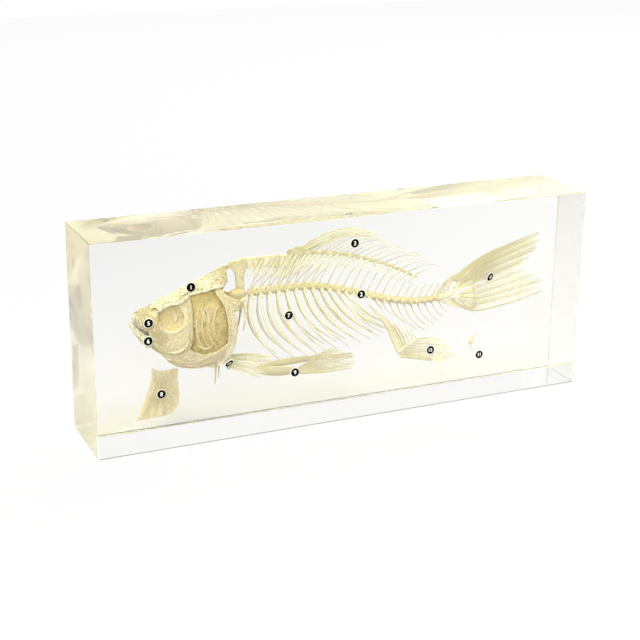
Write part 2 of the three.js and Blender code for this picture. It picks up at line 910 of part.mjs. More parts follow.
function add(name, solid, color, roughness = 0.6) {
  const { vertProperties, triVerts } = solid.getMesh();
  const geometry = new THREE.BufferGeometry();
  geometry.setAttribute("position", new THREE.BufferAttribute(vertProperties, 3));
  geometry.setIndex(new THREE.BufferAttribute(triVerts, 1));
  const material = new THREE.MeshStandardMaterial({ color, roughness, metalness: 0 });
  const mesh = new THREE.Mesh(geometry, material);
  mesh.name = name;
  specimen.add(mesh);
}

add("skull", skull(), BRIGHT_BONE_COLOUR);
add("upper_jaw", upperJaw(), BONE_COLOUR);
add("lower_jaw", lowerJaw(), BONE_COLOUR);
add("cheek_left", cheek(-1), BONE_COLOUR);
add("cheek_right", cheek(1), BONE_COLOUR);
add("gill_arches", gillArches(), INNER_BONE_COLOUR);
add("gill_cover_right", shellPiece(GILL_COVER, 1), BONE_COLOUR);
add("shoulder_left", shoulder(-1), BONE_COLOUR);
add("shoulder_right", shoulder(1), BONE_COLOUR);
add("throat", throat(), BONE_COLOUR);
add("nape_bones", napeBones(), BONE_COLOUR);
add("predorsal_bones", predorsalBones(), BONE_COLOUR);
add("spine_trunk", spineTrunk(), BONE_COLOUR);
add("ribs_left", ribs(-1), BONE_COLOUR);
add("ribs_right", ribs(1), BONE_COLOUR);
add("spine_tail", spineTail(), BONE_COLOUR);
add("dorsal_fin", dorsalFin(), BONE_COLOUR);
add("anal_fin", analFin(), BONE_COLOUR);
add("tail_fin_upper", tailLobe(UPPER_LOBE), BONE_COLOUR);
add("tail_fin_lower", tailLobe(LOWER_LOBE), BONE_COLOUR);
add("pectoral_fin_left", pairedFin(PECTORAL_LEFT), BONE_COLOUR);
add("pectoral_fin_right", pairedFin(PECTORAL_RIGHT), BONE_COLOUR);
add("pelvic_fin_left", pairedFin(PELVIC_LEFT), BONE_COLOUR);
add("pelvic_fin_right", pairedFin(PELVIC_RIGHT), BONE_COLOUR);
add("gill_cover_loose", plate(LOOSE_COVER, -COVER_HALF, COVER_HALF), BONE_COLOUR);
add("small_bone", smallBoneArm().add(plate(SMALL_BONE, -0.4, 0.4)), BONE_COLOUR);
add("resin_block", resinBlock(), RESIN_COLOUR, 0.05);
for (const disc of DISCS) {
  add(`number_disc_${disc[0]}`, discSolid(disc), DISC_COLOUR);
}

export default specimen;
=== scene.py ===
"""The skeleton of a small carp-like fish in a block of clear resin.

Everything is worked out in millimetres in the part's own frame and scaled to metres when a mesh is
made: the origin is the middle of the block's underside, the head points to -X, the fish's left
side and the block's front face are at -Y, and +Z is up.
"""

import bpy
import numpy as np
from mathutils import Matrix, Vector


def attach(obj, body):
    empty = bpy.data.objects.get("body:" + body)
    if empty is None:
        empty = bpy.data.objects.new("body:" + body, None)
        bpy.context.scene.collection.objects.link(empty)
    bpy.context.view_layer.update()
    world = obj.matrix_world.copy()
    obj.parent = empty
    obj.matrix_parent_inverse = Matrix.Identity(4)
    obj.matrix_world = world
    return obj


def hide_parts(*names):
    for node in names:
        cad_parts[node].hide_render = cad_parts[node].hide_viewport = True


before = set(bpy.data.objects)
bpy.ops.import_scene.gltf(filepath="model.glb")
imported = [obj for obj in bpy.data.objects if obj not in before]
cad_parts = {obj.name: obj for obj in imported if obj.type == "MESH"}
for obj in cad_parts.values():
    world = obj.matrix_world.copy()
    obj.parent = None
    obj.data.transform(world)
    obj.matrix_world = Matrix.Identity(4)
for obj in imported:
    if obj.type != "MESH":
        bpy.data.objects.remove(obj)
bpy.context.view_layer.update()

MM = 0.001
BLOCK_SIZE = np.array([163.0, 27.0, 65.0])
LEFT, RIGHT = -1, 1
HEAD_FRONT, HEAD_BACK = -67, -33
EYE_X, EYE_Z = -56.5, 38.5
TRUNK_VERTEBRAE, ALL_VERTEBRAE = 13, 24


# ------------------------------------------------------------------ curves of the body


def shares(count):
    """Numbers spaced evenly from 0 to 1."""
    return np.linspace(0, 1, count)


def wave(count, start, end):
    """The sine of an angle that goes evenly from start to end, for the girth along a bone."""
    return np.sin(np.linspace(start, end, count))


def smoothstep(x, low, high):
    """0 below low, 1 above high, and 3 t^2 - 2 t^3 of the share t between them."""
    t = np.clip((x - low) / (high - low), 0, 1)
    return t * t * (3 - 2 * t)


def lerp(a, b, t):
    """What lies the share t of the way from a to b."""
    return a + (b - a) * t


def column_z(x):
    """Height of the backbone: level, one soft step down over the trunk, a slight rise at the tail."""
    return 42.5 - 9.5 * smoothstep(x, -15, 28) + 0.016 * np.maximum(0, x - 30) ** 2


def vertebra_x(i):
    """Front of vertebra i along the fish: they shorten evenly towards the tail."""
    return -31.6 + 2.95 * i - 0.011 * i * i


def dorsal_z(x):
    """Height of the line that the dorsal fin's rays stand on."""
    return 53.8 - 0.05 * (x + 14) - 0.0066 * (x + 14) ** 2


def roof_z(x):
    """Height of the skull roof: a forehead parabola, or the snout's straight line if higher."""
    back = x + 32
    return np.maximum(53.6 + 0.25 * back - 0.0045 * back**2, 41 + 0.3 * (x + 66.5))


def throat_z(x):
    """Height of the throat: a parabola, steeper ahead of x = -47, that turns up at the back."""
    return 20.9 + np.where(x < -47, 0.038, 0.03) * (x + 47) ** 2 + 2 * np.maximum(0, x + 39)


def head_section(x):
    """The head's top, bottom, the level of its widest line at 45% of the height, and its half-width:
    a quarter ellipse from the snout back, then a slight taper."""
    x = np.clip(x, HEAD_FRONT, HEAD_BACK)
    ahead = np.clip((-40 - x) / 28.5, 0, 0.985)
    half_width = 7.6 * np.sqrt(1 - ahead**2) - 0.2 * np.maximum(0, x + 40)
    top, bottom = roof_z(x), throat_z(x)
    return top, bottom, lerp(bottom, top, 0.45), half_width


def head_ring(x, angle, inset=0.0):
    """Points of the head's cross-sections. angle turns from the left flank (0) over the roof (pi/2)
    to the right flank (pi), and below for negative angles: y is minus the half-width times
    cos^0.8, narrowed by 30% towards the roof, and z is the flank's level plus the half-height
    times sin^0.85. inset draws the section in all round."""
    top, bottom, level, half_width = head_section(x)
    sin, cos = np.sin(angle), np.cos(angle)
    half_height = np.where(sin > 0, top - level, level - bottom) - inset
    narrow = 1 - 0.3 * np.maximum(0, sin) ** 2
    y = -np.sign(cos) * np.abs(cos) ** 0.8 * (half_width - inset) * narrow
    z = level + np.sign(sin) * np.abs(sin) ** 0.85 * half_height
    return y, z


def head_angle(x, z):
    """The left flank's angle in head_ring at which a section passes the height z."""
    top, bottom, level, _ = head_section(x)
    share = np.clip((z - level) / np.where(z > level, top - level, level - bottom), -0.999, 0.999)
    return np.arcsin(np.sign(share) * np.abs(share) ** (1 / 0.85))


def head_flank(side, inset=0.0):
    """A function of x and z that gives the head's outer surface on one side, drawn in by inset."""

    def across(x, z):
        y, _ = head_ring(x, head_angle(x, z), inset)
        return -side * y

    return across


def on_flank(side, inset, x, z):
    """Points of that surface, from their x and z."""
    x, z = np.asarray(x, float), np.asarray(z, float)
    return np.stack([x, head_flank(side, inset)(x, z), z], -1)


def ripple(x, z, size):
    """Even, repeatable roughness between about -1 and 1: three crossed sine waves of unlike length."""
    a, b = x / size, z / size
    first = np.sin(5.1 * a + 1.3 * np.sin(3.7 * b))
    second = np.sin(4.3 * b + 1.7 * np.sin(2.9 * a) + 2)
    third = np.sin(7.7 * (a + b)) * np.sin(6.1 * (a - b) + 1)
    return (first + second + third) / 3


# ------------------------------------------------------------------ paths and sections


def through(corners, count, side=1):
    """Smooth paths through rows of corner points, as an array of bones by stations by 3. Between two
    corners the place is the Catmull-Rom cubic of the nearest four, and each row runs on straight
    past its ends. Corners given as x and z alone lie at y = 0, and side -1 mirrors the y."""
    corners = np.asarray(corners, float)
    corners = corners[None] if corners.ndim == 2 else corners
    corners = np.insert(corners, 1, 0, axis=-1) if corners.shape[-1] == 2 else corners * [1, side, 1]
    before = 2 * corners[:, :1] - corners[:, 1:2]
    after = 2 * corners[:, -1:] - corners[:, -2:-1]
    p = np.concatenate([before, corners, after], axis=1)
    u = np.linspace(0, corners.shape[1] - 1, count)
    i = np.minimum(u.astype(int), corners.shape[1] - 2)
    t = (u - i)[None, :, None]
    a, b, c, d = (p[:, i + k] for k in range(4))
    bend = (2 * a - 5 * b + 4 * c - d) * t**2 + (3 * b - a - 3 * c + d) * t**3
    return 0.5 * (2 * b + (c - a) * t + bend)


def bundle(*corners):
    """Corner points for a row of bones. Each corner is an x, y and z, and each of these is a number
    or one value per bone."""
    size = max(np.size(value) for corner in corners for value in corner)
    spread = [[np.broadcast_to(value, size) for value in corner] for corner in corners]
    return np.stack([np.stack(corner, -1) for corner in spread], 1)


def strands(count, stations, *corners, sway=(0, 0)):
    """Paths of bones that lie side by side. Each corner gives the first bone's x and z and how much
    further the last bone's are. From bone to bone the first corner's y is sway's size times the
    sine of sway's turn."""
    s = shares(count)
    places = bundle(*((x + wide * s, 0, z + high * s) for x, z, wide, high in corners))
    places[:, 0, 1] = sway[0] * np.sin(sway[1] * s)
    return through(places, stations)


def egg(centre, half, rows, columns, power=2, lump=1, least=0.01):
    """Sections of an egg along its first axis: as u goes from -1 to 1, their girth is the square
    root of 1 - u^power, but not below least. lump(u, turn) makes them uneven."""
    u = np.linspace(-1, 1, rows)[:, None]
    turn = np.linspace(0, 2 * np.pi, columns, endpoint=False)[None]
    girth = np.sqrt(np.clip(1 - u**power, least, 1)) * (lump(u, turn) if callable(lump) else lump)
    ways = u, girth * np.cos(turn), girth * np.sin(turn)
    return np.stack(np.broadcast_arrays(*(c + h * way for c, h, way in zip(centre, half, ways))), -1)


def head_shell(x, edge, over, points, rough, outer, inner):
    """Sections of a shell of the head, from the left side's edge height over the roof (over 1) or
    under the throat (over -1) to the right side's. The outer face lies outer less rough(angle)
    inside the head's surface, the inner face lies inner inside it, and both ends thin out."""
    angle = head_angle(x, edge)
    sweep = lerp(angle, over * np.pi - angle, shares(points)[None])
    faces = head_ring(x, sweep, outer - rough(sweep)), head_ring(x, sweep[:, ::-1], inner)
    ends = np.clip(np.minimum(x - x[0], x[-1] - x) / 0.8, 0, 1) ** 0.5
    sides = [np.concatenate(pair, axis=1) for pair in zip(*faces)]
    thin = [lerp(0.5 * (side + side[:, ::-1]), side, ends) for side in sides]
    return np.stack([np.broadcast_to(x, thin[0].shape), *thin], -1)


def outline(corners, count, soften):
    """Points spaced evenly round a closed line of corners, each then the mean of its neighbours
    within soften points, which rounds the corners."""
    corners = np.asarray(corners, float)
    loop = np.vstack([corners, corners[:1]])
    run = np.concatenate([[0], np.cumsum(np.linalg.norm(np.diff(loop, axis=0), axis=1))])
    s = np.linspace(0, run[-1], count, endpoint=False)
    line = np.stack([np.interp(s, run, loop[:, k]) for k in range(2)], axis=1)
    return np.mean([np.roll(line, k, axis=0) for k in range(-soften, soften + 1)], axis=0)


# ------------------------------------------------------------------ surfaces


def grid_faces(rows, columns, close_rows=False):
    """Four-cornered faces of a grid of points that closes round its columns, and round its rows
    too if close_rows is true."""
    r, c = np.meshgrid(np.arange(rows if close_rows else rows - 1), np.arange(columns), indexing="ij")
    here, up, on = r * columns, (r + 1) % rows * columns, (c + 1) % columns
    return np.stack([here + c, here + on, up + on, up + c], -1).reshape(-1, 4)


def fans(rows, columns, first, last):
    """Three-cornered faces that close a grid's first and last row to two end points."""
    c = np.arange(columns)
    on, row = (c + 1) % columns, (rows - 1) * columns
    start = np.stack([on, c, np.full(columns, first)], -1)
    end = np.stack([row + c, row + on, np.full(columns, last)], -1)
    return np.concatenate([start, end])


class Bones:
    """Closed surfaces gathered into one piece. tone, from 0 for pale to 1 for dark and below 0 for
    a painted highlight, is kept at each point for the material."""

    def __init__(self):
        self.points, self.quads, self.tris, self.tone = [], [], [], []
        self.count = 0

    def add(self, points, quads, tris, tone):
        """Takes one set of surfaces, and turns its faces over if they enclose less than nothing."""
        halves = np.concatenate([quads[:, [0, 1, 2]], quads[:, [0, 2, 3]], tris])
        a, b, c = (points[halves[:, k]] for k in range(3))
        if np.einsum("ij,ij->", a, np.cross(b, c)) < 0:
            quads, tris = quads[:, ::-1], tris[:, ::-1]
        self.points.append(points)
        self.quads.append(quads + self.count)
        self.tris.append(tris + self.count)
        self.tone.append(np.broadcast_to(tone, len(points)).astype(np.float32))
        self.count += len(points)
        return self

    def tubes(self, paths, radius, flat=1.0, sides=8, tone=0.3, edge=0.0):
        """Round bones along paths: at each station an ellipse stands square to the path, its
        half-height radius and its half-width across the fish flat times that. The first and last
        ring shrink by a third and run out to a point half a radius on. edge is added to the tone
        along the upper and lower side, as the sine round the ring to the power 1.6: a painted shade
        along the bone's outline as seen from the front."""
        paths = np.asarray(paths, float)
        paths = paths[None] if paths.ndim == 2 else paths
        bones, stations = paths.shape[:2]
        radius = np.array(np.broadcast_to(radius, (bones, stations)), float)
        tone = np.broadcast_to(tone, (bones, stations))
        along = np.gradient(paths, axis=1)
        along /= np.linalg.norm(along, axis=2, keepdims=True)
        across = np.array([0.0, 1.0, 0.0]) - along * along[..., 1:2]
        across /= np.linalg.norm(across, axis=2, keepdims=True)
        up = np.cross(across, along)
        starts = paths[:, 0] - along[:, 0] * radius[:, :1] * 0.5
        ends = paths[:, -1] + along[:, -1] * radius[:, -1:] * 0.5
        radius[:, [0, -1]] *= 0.67
        turn = 2 * np.pi * np.arange(sides) / sides
        wide = (radius * flat)[..., None, None] * np.cos(turn)[:, None] * across[:, :, None]
        high = radius[..., None, None] * np.sin(turn)[:, None] * up[:, :, None]
        rings = (paths[:, :, None] + wide + high).reshape(bones, -1, 3)
        points = np.concatenate([rings, starts[:, None], ends[:, None]], axis=1)
        size = points.shape[1]
        offset = size * np.arange(bones)[:, None, None]
        quads = (grid_faces(stations, sides) + offset).reshape(-1, 4)
        tris = (fans(stations, sides, size - 2, size - 1) + offset).reshape(-1, 3)
        # edge adds painted shade along the upper and lower side of each ring, the outline seen from the
        # front.
        tones = (tone[..., None] + edge * np.abs(np.sin(turn)) ** 1.6).reshape(bones, -1)
        tones = np.concatenate([tones, tone[:, :1], tone[:, -1:]], axis=1)
        return self.add(points.reshape(-1, 3), quads, tris, tones.ravel())

    def rods(self, corners, count, radius, side=1, **look):
        """Round bones along smooth paths of count stations through corner points."""
        return self.tubes(through(corners, count, side), radius, **look)

    def plate(self, corners, half, across=0.0, relief=0.0, grain=1.6, hole=None, tone=0.3, rim=0.0,
              rings=12, count=140, soften=3):
        """A flat bone. Rings shrink from the outline towards its centre, or towards a round hole
        (x, z, radius), on the front, and grow again on the back. The half-thickness is half times
        the fourth root of 1 - r^6, or of 1 - |2 r - 1|^8 round a hole, so the rims are rounded.
        across, a number or a function of x and z, is the y of its middle, and ripples of relief
        roughen both faces. rim is added to the tone towards the edge: a painted shade along the
        rim, and a painted highlight there where rim is below 0."""

        def middle(x, z):
            return across(x, z) if callable(across) else across + 0 * x

        edge = outline(corners, count, soften)
        inner = np.broadcast_to(edge.mean(0), edge.shape)
        if hole:
            turn = np.arctan2(edge[:, 1] - hole[1], edge[:, 0] - hole[0])
            inner = np.stack([hole[0] + hole[2] * np.cos(turn), hole[1] + hole[2] * np.sin(turn)], 1)
        r = np.sin(np.linspace(0, np.pi / 2, rings + 1))[0 if hole else 1 :]
        swell = (1 - np.abs(2 * r - 1) ** 8 if hole else 1 - r**6)[:, None] ** 0.25
        flat = inner[None] + (edge - inner)[None] * r[:, None, None]
        x, z = flat[..., 0], flat[..., 1]
        rough = middle(x, z) + relief * ripple(x, z, grain) * swell
        front = np.stack([x, rough - half * swell, z], -1)
        back = np.stack([x, rough + half * swell, z], -1)[::-1]
        # rim paints shade towards the plate's edge; below 0 it paints a highlight there.
        shade = np.broadcast_to((tone + rim * r**4)[:, None], x.shape)
        if hole:
            rows = np.concatenate([front[1:], back[1:-1], front[:1]])
            tones = np.concatenate([shade[1:], shade[::-1][1:-1], shade[:1]])
            quads = grid_faces(len(rows), count, close_rows=True)
            return self.add(rows.reshape(-1, 3), quads, np.zeros((0, 3), int), tones.ravel())
        rows = np.concatenate([front, back[1:]])
        cx, cz = inner[0]
        mid = float(middle(np.array(cx), np.array(cz)))
        ends = np.array([[cx, mid - half, cz], [cx, mid + half, cz]])
        tones = np.append(np.concatenate([shade, shade[::-1][1:]]).ravel(), [tone, tone])
        return self.close(rows, ends, tones)

    def loft(self, sections, tone=0.3):
        """A closed body through cross-sections, an array of sections by points by 3. Each end
        closes to the middle of its last section."""
        tone = np.broadcast_to(tone, sections.shape[:2])
        ends = np.stack([sections[0].mean(0), sections[-1].mean(0)])
        return self.close(sections, ends, np.append(tone.ravel(), [tone[0, 0], tone[-1, 0]]))

    def close(self, rows, ends, tones):
        """Adds a grid of points whose first and last row each close to an end point."""
        count, columns = rows.shape[:2]
        points = np.concatenate([rows.reshape(-1, 3), ends])
        tips = fans(count, columns, len(points) - 2, len(points) - 1)
        return self.add(points, grid_faces(count, columns), tips, tones)

    def piece(self, name, material, *nodes, slot="bone"):
        """The gathered surfaces as one object that rides on the block and stands for the CAD nodes."""
        points = np.concatenate(self.points) * MM
        quads, tris = np.concatenate(self.quads), np.concatenate(self.tris)
        corners = np.concatenate([quads.ravel(), tris.ravel()]).astype(np.int32)
        sizes = np.repeat([4, 3], [len(quads), len(tris)])
        starts = np.concatenate([[0], np.cumsum(sizes)[:-1]]).astype(np.int32)
        mesh = bpy.data.meshes.new(name)
        mesh.vertices.add(len(points))
        mesh.vertices.foreach_set("co", points.astype(np.float32).ravel())
        mesh.loops.add(len(corners))
        mesh.loops.foreach_set("vertex_index", corners)
        mesh.polygons.add(len(sizes))
        mesh.polygons.foreach_set("loop_start", starts)
        mesh.polygons.foreach_set("use_smooth", np.ones(len(sizes), bool))
        tones = mesh.attributes.new("tone", "FLOAT", "POINT")
        tones.data.foreach_set("value", np.concatenate(self.tone))
        mesh.update(calc_edges=True)
        mesh.validate()
        mesh.materials.append(material)
        return place(bpy.data.objects.new(name, mesh), slot, *nodes)


def place(thing, slot, *nodes):
    """Puts a finished piece in the scene, on the block's body, in place of the CAD nodes."""
    bpy.context.scene.collection.objects.link(thing)
    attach(thing, "root")
    if nodes:
        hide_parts(*nodes)
    return thing


# ------------------------------------------------------------------ shader maths


class Wire:
    """A socket of a material's node tree, with arithmetic: each operation adds one Math node."""

    def __init__(self, paint, value):
        self.paint, self.value = paint, value

    def _math(self, operation, first, second):
        return self.paint.node("ShaderNodeMath", {"operation": operation}, first, second)

    def __add__(self, other):
        return self._math("ADD", self, other)

    def __radd__(self, other):
        return self._math("ADD", other, self)

    def __sub__(self, other):
        return self._math("SUBTRACT", self, other)

    def __rsub__(self, other):
        return self._math("SUBTRACT", other, self)

    def __mul__(self, other):
        return self._math("MULTIPLY", self, other)

    def __rmul__(self, other):
        return self._math("MULTIPLY", other, self)


class Paint:
    """The nodes of one material, or of the surroundings."""

    def __init__(self, owner):
        owner.use_nodes = True
        self.owner, self.tree = owner, owner.node_tree

    def node(self, kind, settings, *inputs, out=0, **named):
        """Adds a node: first its settings, then the values or links of its sockets, by order (None
        leaves one as it is) or by name. Returns one of its outputs."""
        node = self.tree.nodes.new(kind)
        for key, value in settings.items():
            setattr(node, key, value)
        for socket, value in zip(node.inputs, inputs):
            self.join(value, socket)
        for name, value in named.items():
            self.join(value, node.inputs[name])
        return Wire(self, node.outputs[out])

    def join(self, value, socket):
        """Links a wire to a socket, or sets the socket's own value."""
        if isinstance(value, Wire):
            self.tree.links.new(value.value, socket)
        elif value is not None:
            socket.default_value = value

    def position(self):
        """The point's place on the piece."""
        return self.node("ShaderNodeTexCoord", {}, out="Object")

    def noise(self, size, detail=3.0, rough=0.55):
        """Noise whose lumps are about size millimetres across."""
        return self.node(
            "ShaderNodeTexNoise", {}, out="Fac",
            Vector=self.position(), Scale=1 / (size * MM), Detail=detail, Roughness=rough,
        )

    def band(self, value, low, high):
        """0 below low, 1 above high and smooth between them."""
        settings = {"interpolation_type": "SMOOTHSTEP"}
        return self.node("ShaderNodeMapRange", settings, value, low, high, 0.0, 1.0)

    def mix(self, share, first, second):
        """One colour turning into another as share goes from 0 to 1."""
        return self.node("ShaderNodeMix", {"data_type": "RGBA"}, share, *[None] * 5, first, second, out=2)

    def bump(self, height, depth):
        """Relief of depth millimetres, as a normal."""
        return self.node("ShaderNodeBump", {}, out="Normal", Height=height, Distance=depth * MM, Strength=1.0)

    def finish(self, **sockets):
        """Sets or links the main shader's sockets, and returns the material."""
        for name, value in sockets.items():
            self.join(value, self.tree.nodes["Principled BSDF"].inputs[name.replace("_", " ")])
        return self.owner

    def surface(self, share, other):
        """Mixes another shader into the main one, as far as share says."""
        main = Wire(self, self.tree.nodes["Principled BSDF"].outputs[0])
        both = self.node("ShaderNodeMixShader", {}, share, main, other)
        self.join(both, self.tree.nodes["Material Output"].inputs["Surface"])


def colour(red, green, blue):
    """A colour given as it looks on screen, from 0 to 255, made linear."""
    c = np.array([red, green, blue]) / 255
    linear = np.where(c <= 0.04045, c / 12.92, ((c + 0.055) / 1.055) ** 2.4)
    return (*linear.tolist(), 1.0)


# Painted highlight colour of bone, reached where the tone is below 0; it also paints light on undersides that
# face down into shade.
PAINTED_HIGHLIGHT_BONE = colour(248, 243, 214)


def bone_material(name, pale, dark, deep, pits=0.05, grain=0.5, speckle=0.45):
    """Dry bone: pale to dark by the piece's tone and by cloudy patches, lightened towards a painted
    highlight colour where the tone is below 0, deep in the pits as far as speckle says, and dull to
    slightly waxy. pits is their depth and grain their size."""
    paint = Paint(bpy.data.materials.new(name))
    clouds = paint.noise(2.4, 4.0)
    fine = paint.noise(grain, 3.0, 0.6)
    tone = paint.node("ShaderNodeAttribute", {"attribute_name": "tone"}, out="Fac")
    shade = paint.band(tone + 0.7 * (clouds - 0.5), 0.0, 1.0)
    body = paint.mix(shade, colour(*pale), colour(*dark))
    # Painted highlight: tones below 0 mix towards the painted highlight colour.
    body = paint.mix(paint.band(tone, -1.0, 0.0), PAINTED_HIGHLIGHT_BONE, body)
    return paint.finish(
        Base_Color=paint.mix(paint.band(fine, 0.5, 0.68) * speckle, body, colour(*deep)),
        Roughness=0.5 + 0.2 * clouds,
        Normal=paint.bump(paint.band(fine, 0.2, 0.8), pits),
        Specular_IOR_Level=0.2,
    )


BONE = bone_material("bone", (240, 234, 206), (198, 188, 152), (178, 166, 120))
FIN_BONE = bone_material("fin_bone", (247, 243, 213), (194, 187, 154), (176, 167, 122), 0.03, 0.4)
SKULL_BONE = bone_material("skull_bone", (246, 241, 220), (204, 193, 154), (174, 160, 112), 0.4, 0.55, 1.0)
PLATE_BONE = bone_material("plate_bone", (226, 215, 180), (186, 173, 132), (176, 160, 110), 0.16, 0.42, 0.8)
GILL_BONE = bone_material("gill_bone", (222, 208, 160), (178, 160, 100), (158, 139, 80), 0.14, 0.45, 0.65)


# ------------------------------------------------------------------ head


def skull():
    """The roof of the skull is an arch of the head from one lower edge over the top to the other,
    about 1.1 mm thick. Under it lie the braincase, an egg, and the thin wall between the eyes. A
    crest stands behind it, and a brow and a ridge run along each lower edge."""
    bones = Bones()
    x = np.linspace(-62.4, -38.7, 110)[:, None]
    edge_x = [-62.6, -60.4, -57.6, -54.6, -51.8, -44, -40.6, -38.6]
    edge_z = [40.9, 41.4, 43.1, 43.3, 45.5, 46.3, 46.6, 48.6]
    low = np.interp(x, edge_x, edge_z) + 0.3 * ripple(x, 0.4 * x, 1.3)

    def rough(sweep):
        return 0.2 * ripple(x, sweep * 6, 1.7) + 0.16 * ripple(x, sweep * 9, 0.7)

    def lump(u, turn):
        return 1 + 0.1 * np.cos(3 * turn) * np.cos(2.5 * u)

    bones.loft(head_shell(x, low, 1, 61, rough, 0.12, 1.2), 0.22 + 0.5 * smoothstep(x, -46, -39))
    bones.loft(egg((-45.4, 0, 43.4), (6.3, 3.5, 2.9), 36, 48, 4, lump), 0.55)
    wall = [[-61.4, 42.4], [-60.6, 39], [-56, 38.4], [-52, 38.6], [-51, 44.4], [-56, 43.8]]
    bones.plate(wall, 0.4, relief=0.08, tone=0.6)
    crest = [
        [-44, 49.4], [-40.2, 49.8], [-38.4, 50.6], [-35.6, 51.6], [-35.4, 52.7], [-39.4, 51.9], [-44, 50.2]
    ]
    bones.plate(crest, 0.5, relief=0.12, grain=1.3, tone=0.6, count=80)
    brow = [[-60.6, 4.4, 41.2], [-57.6, 4.9, 42.9], [-54.2, 5.2, 43.1], [-51.6, 5.4, 45]]
    ridge = [[-51.4, 5.2, 45.4], [-47, 5.6, 45.9], [-43.4, 5.4, 46.4], [-40.8, 4.8, 46.6]]
    for side in (LEFT, RIGHT):
        bones.rods(brow, 24, 0.45 + 0.1 * wave(24, 0, 9), sides=10, tone=0.0, side=side)
        bones.rods(ridge, 30, 0.34 + 0.12 * wave(30, 0, 17), sides=10, tone=0.0, side=side)
    bones.piece("skull_bones", SKULL_BONE, "skull", slot="bright_bone")


def eye_sockets():
    """A bowl in each eye socket: circles shrink inwards as the sine of an angle whose cosine
    carries them 2.2 mm deep; the wall is 0.4 mm thick. Beside the snout, a small dish lines each
    nostril the same way."""
    bones = Bones()
    turn = np.linspace(0, 2 * np.pi, 56, endpoint=False)[None]
    bowl = np.linspace(0.06, np.pi / 2, 14)[:, None]
    eye, nostril = (EYE_X, EYE_Z, 4.1, 2.9, 5.1, 0.05), (-61.2, 41.1, 1.0, 1.9, 2.9, 1.2)
    # A thin streak in each socket with a tone below 0: a painted highlight.
    streak = [[-55.6, 3.6, 39.8], [-55, 3.7, 38.4], [-55.2, 3.6, 37]]
    for side in (LEFT, RIGHT):
        for cx, cz, radius, deep, rim, tone in (eye, nostril):
            x = cx + radius * np.sin(bowl) * np.cos(turn)
            z = cz + radius * np.sin(bowl) * np.sin(turn)
            y = lerp(deep, rim, 1 - np.cos(bowl)) + 0.12 * ripple(x, z, 1.1)
            inside = np.stack([x, side * y, z], -1)
            outside = np.stack([x, side * (y - 0.4), z], -1)
            bones.loft(np.concatenate([inside, outside[::-1]]), tone)
        bones.rods(streak, 12, 0.5 * wave(12, 0.4, 2.7), flat=0.5, tone=-0.6, side=side)
    bones.piece("eye_sockets", GILL_BONE, slot="inner_bone")


def cheek(side, name):
    """The cheek plate runs from the eye socket out to its outline on the head's flank, with a
    darker plate over it ahead of the eye. Rounded rims go round the socket, the long lower one
    lightened as a painted highlight, and the flat bar ahead of the gill cover bends from the skull
    down and forward, with a painted highlight line over its bend."""
    bones = Bones()
    corners = [
        [-63, 42.2], [-60.2, 41.6], [-57.4, 42.9], [-54.4, 43.2], [-51.7, 45.2], [-50.7, 45.2],
        [-50.6, 33], [-51.2, 29.4], [-54.6, 27.4], [-60, 27.6], [-62.4, 29.6], [-63.4, 33.4], [-63.6, 37],
    ]
    skin, eye = head_flank(side, 0.6), (EYE_X, EYE_Z, 3.85)
    bones.plate(corners, 0.45, skin, relief=0.2, hole=eye, rim=0.2, count=200, rings=18)
    snout = [
        [-62.9, 41.2], [-61, 40.9], [-60.6, 38.6], [-60.3, 36.2], [-59, 34.6], [-57.4, 33.7], [-57.8, 31.6],
        [-60, 30.2], [-62.6, 32.4], [-63.3, 36.6],
    ]
    bones.plate(snout, 0.3, head_flank(side, 0.34), relief=0.14, grain=1.2, tone=0.85, rim=-0.3, count=100)

    def round_eye(radius, inset, turn):
        return on_flank(side, inset, EYE_X + radius * np.cos(turn), EYE_Z + radius * np.sin(turn))

    turn = np.linspace(-2.9, 0.9, 40)
    # The long rim under and behind the socket has a tone below 0: a painted highlight.
    bones.tubes(round_eye(4.05, 0.3, turn), 0.16 + 0.26 * wave(40, 0, np.pi), sides=10, tone=-0.3)
    bones.tubes(round_eye(3.9, 0.6, np.linspace(0.9, 2.4, 24)), 0.35, tone=0.6)
    bar_x = [-51.1, -51, -51, -51.3, -52.6, -55, -57.8]
    bar_z = [44.8, 40, 34, 30.6, 28.5, 27.8, 27.9]
    bar = through(on_flank(side, 0.3, bar_x, bar_z), 48)
    bones.tubes(bar, 0.85 - 0.5 * shares(48) ** 2, flat=0.3, sides=12, tone=0.55, edge=0.2)
    # The line over the bar's bend has a tone below 0: a painted highlight.
    bend = on_flank(side, 0.05, [-58.6, -56.2, -53.8, -52.4, -52.1], [28.6, 28.3, 28.8, 30.2, 31.8])
    bones.rods(bend, 30, 0.26 * wave(30, 0.3, 2.9), tone=-0.4)
    bones.piece(f"cheek_bones_{name}", PLATE_BONE, f"cheek_{name}")


def upper_jaw():
    """On each side a plate on the snout's flank and slanting ridges; they meet in a rounded tip."""
    bones = Bones()
    corners = [
        [-67.3, 39.4], [-66.3, 41], [-64.4, 42], [-62, 42.4], [-61.6, 38], [-62.8, 35.2], [-64.6, 35.4],
        [-66.4, 37.2],
    ]
    x = [[-66.6, -66.6, -65.9], [-65.8, -65.8, -65.1], [-65, -64.8, -64.2], [-63.9, -63.7, -63.4]]
    z = [[40.8, 38.9, 37.2], [41.4, 39, 36.6], [41.8, 39, 36.2], [42, 39.4, 36.8]]
    for side in (LEFT, RIGHT):
        bones.plate(corners, 0.5, head_flank(side, 0.7), relief=0.2, grain=1.1, tone=0.9, count=100)
        bones.rods(on_flank(side, 0.2, x, z), 14, 0.24, tone=0.4, edge=0.2)
    tip = egg((0, -66, 39.2), (2.4, 1.6, 1.4), 20, 28, least=0.02)
    bones.loft(tip[..., [1, 0, 2]], 0.35)
    bones.piece("upper_jaw_bones", SKULL_BONE, "upper_jaw")


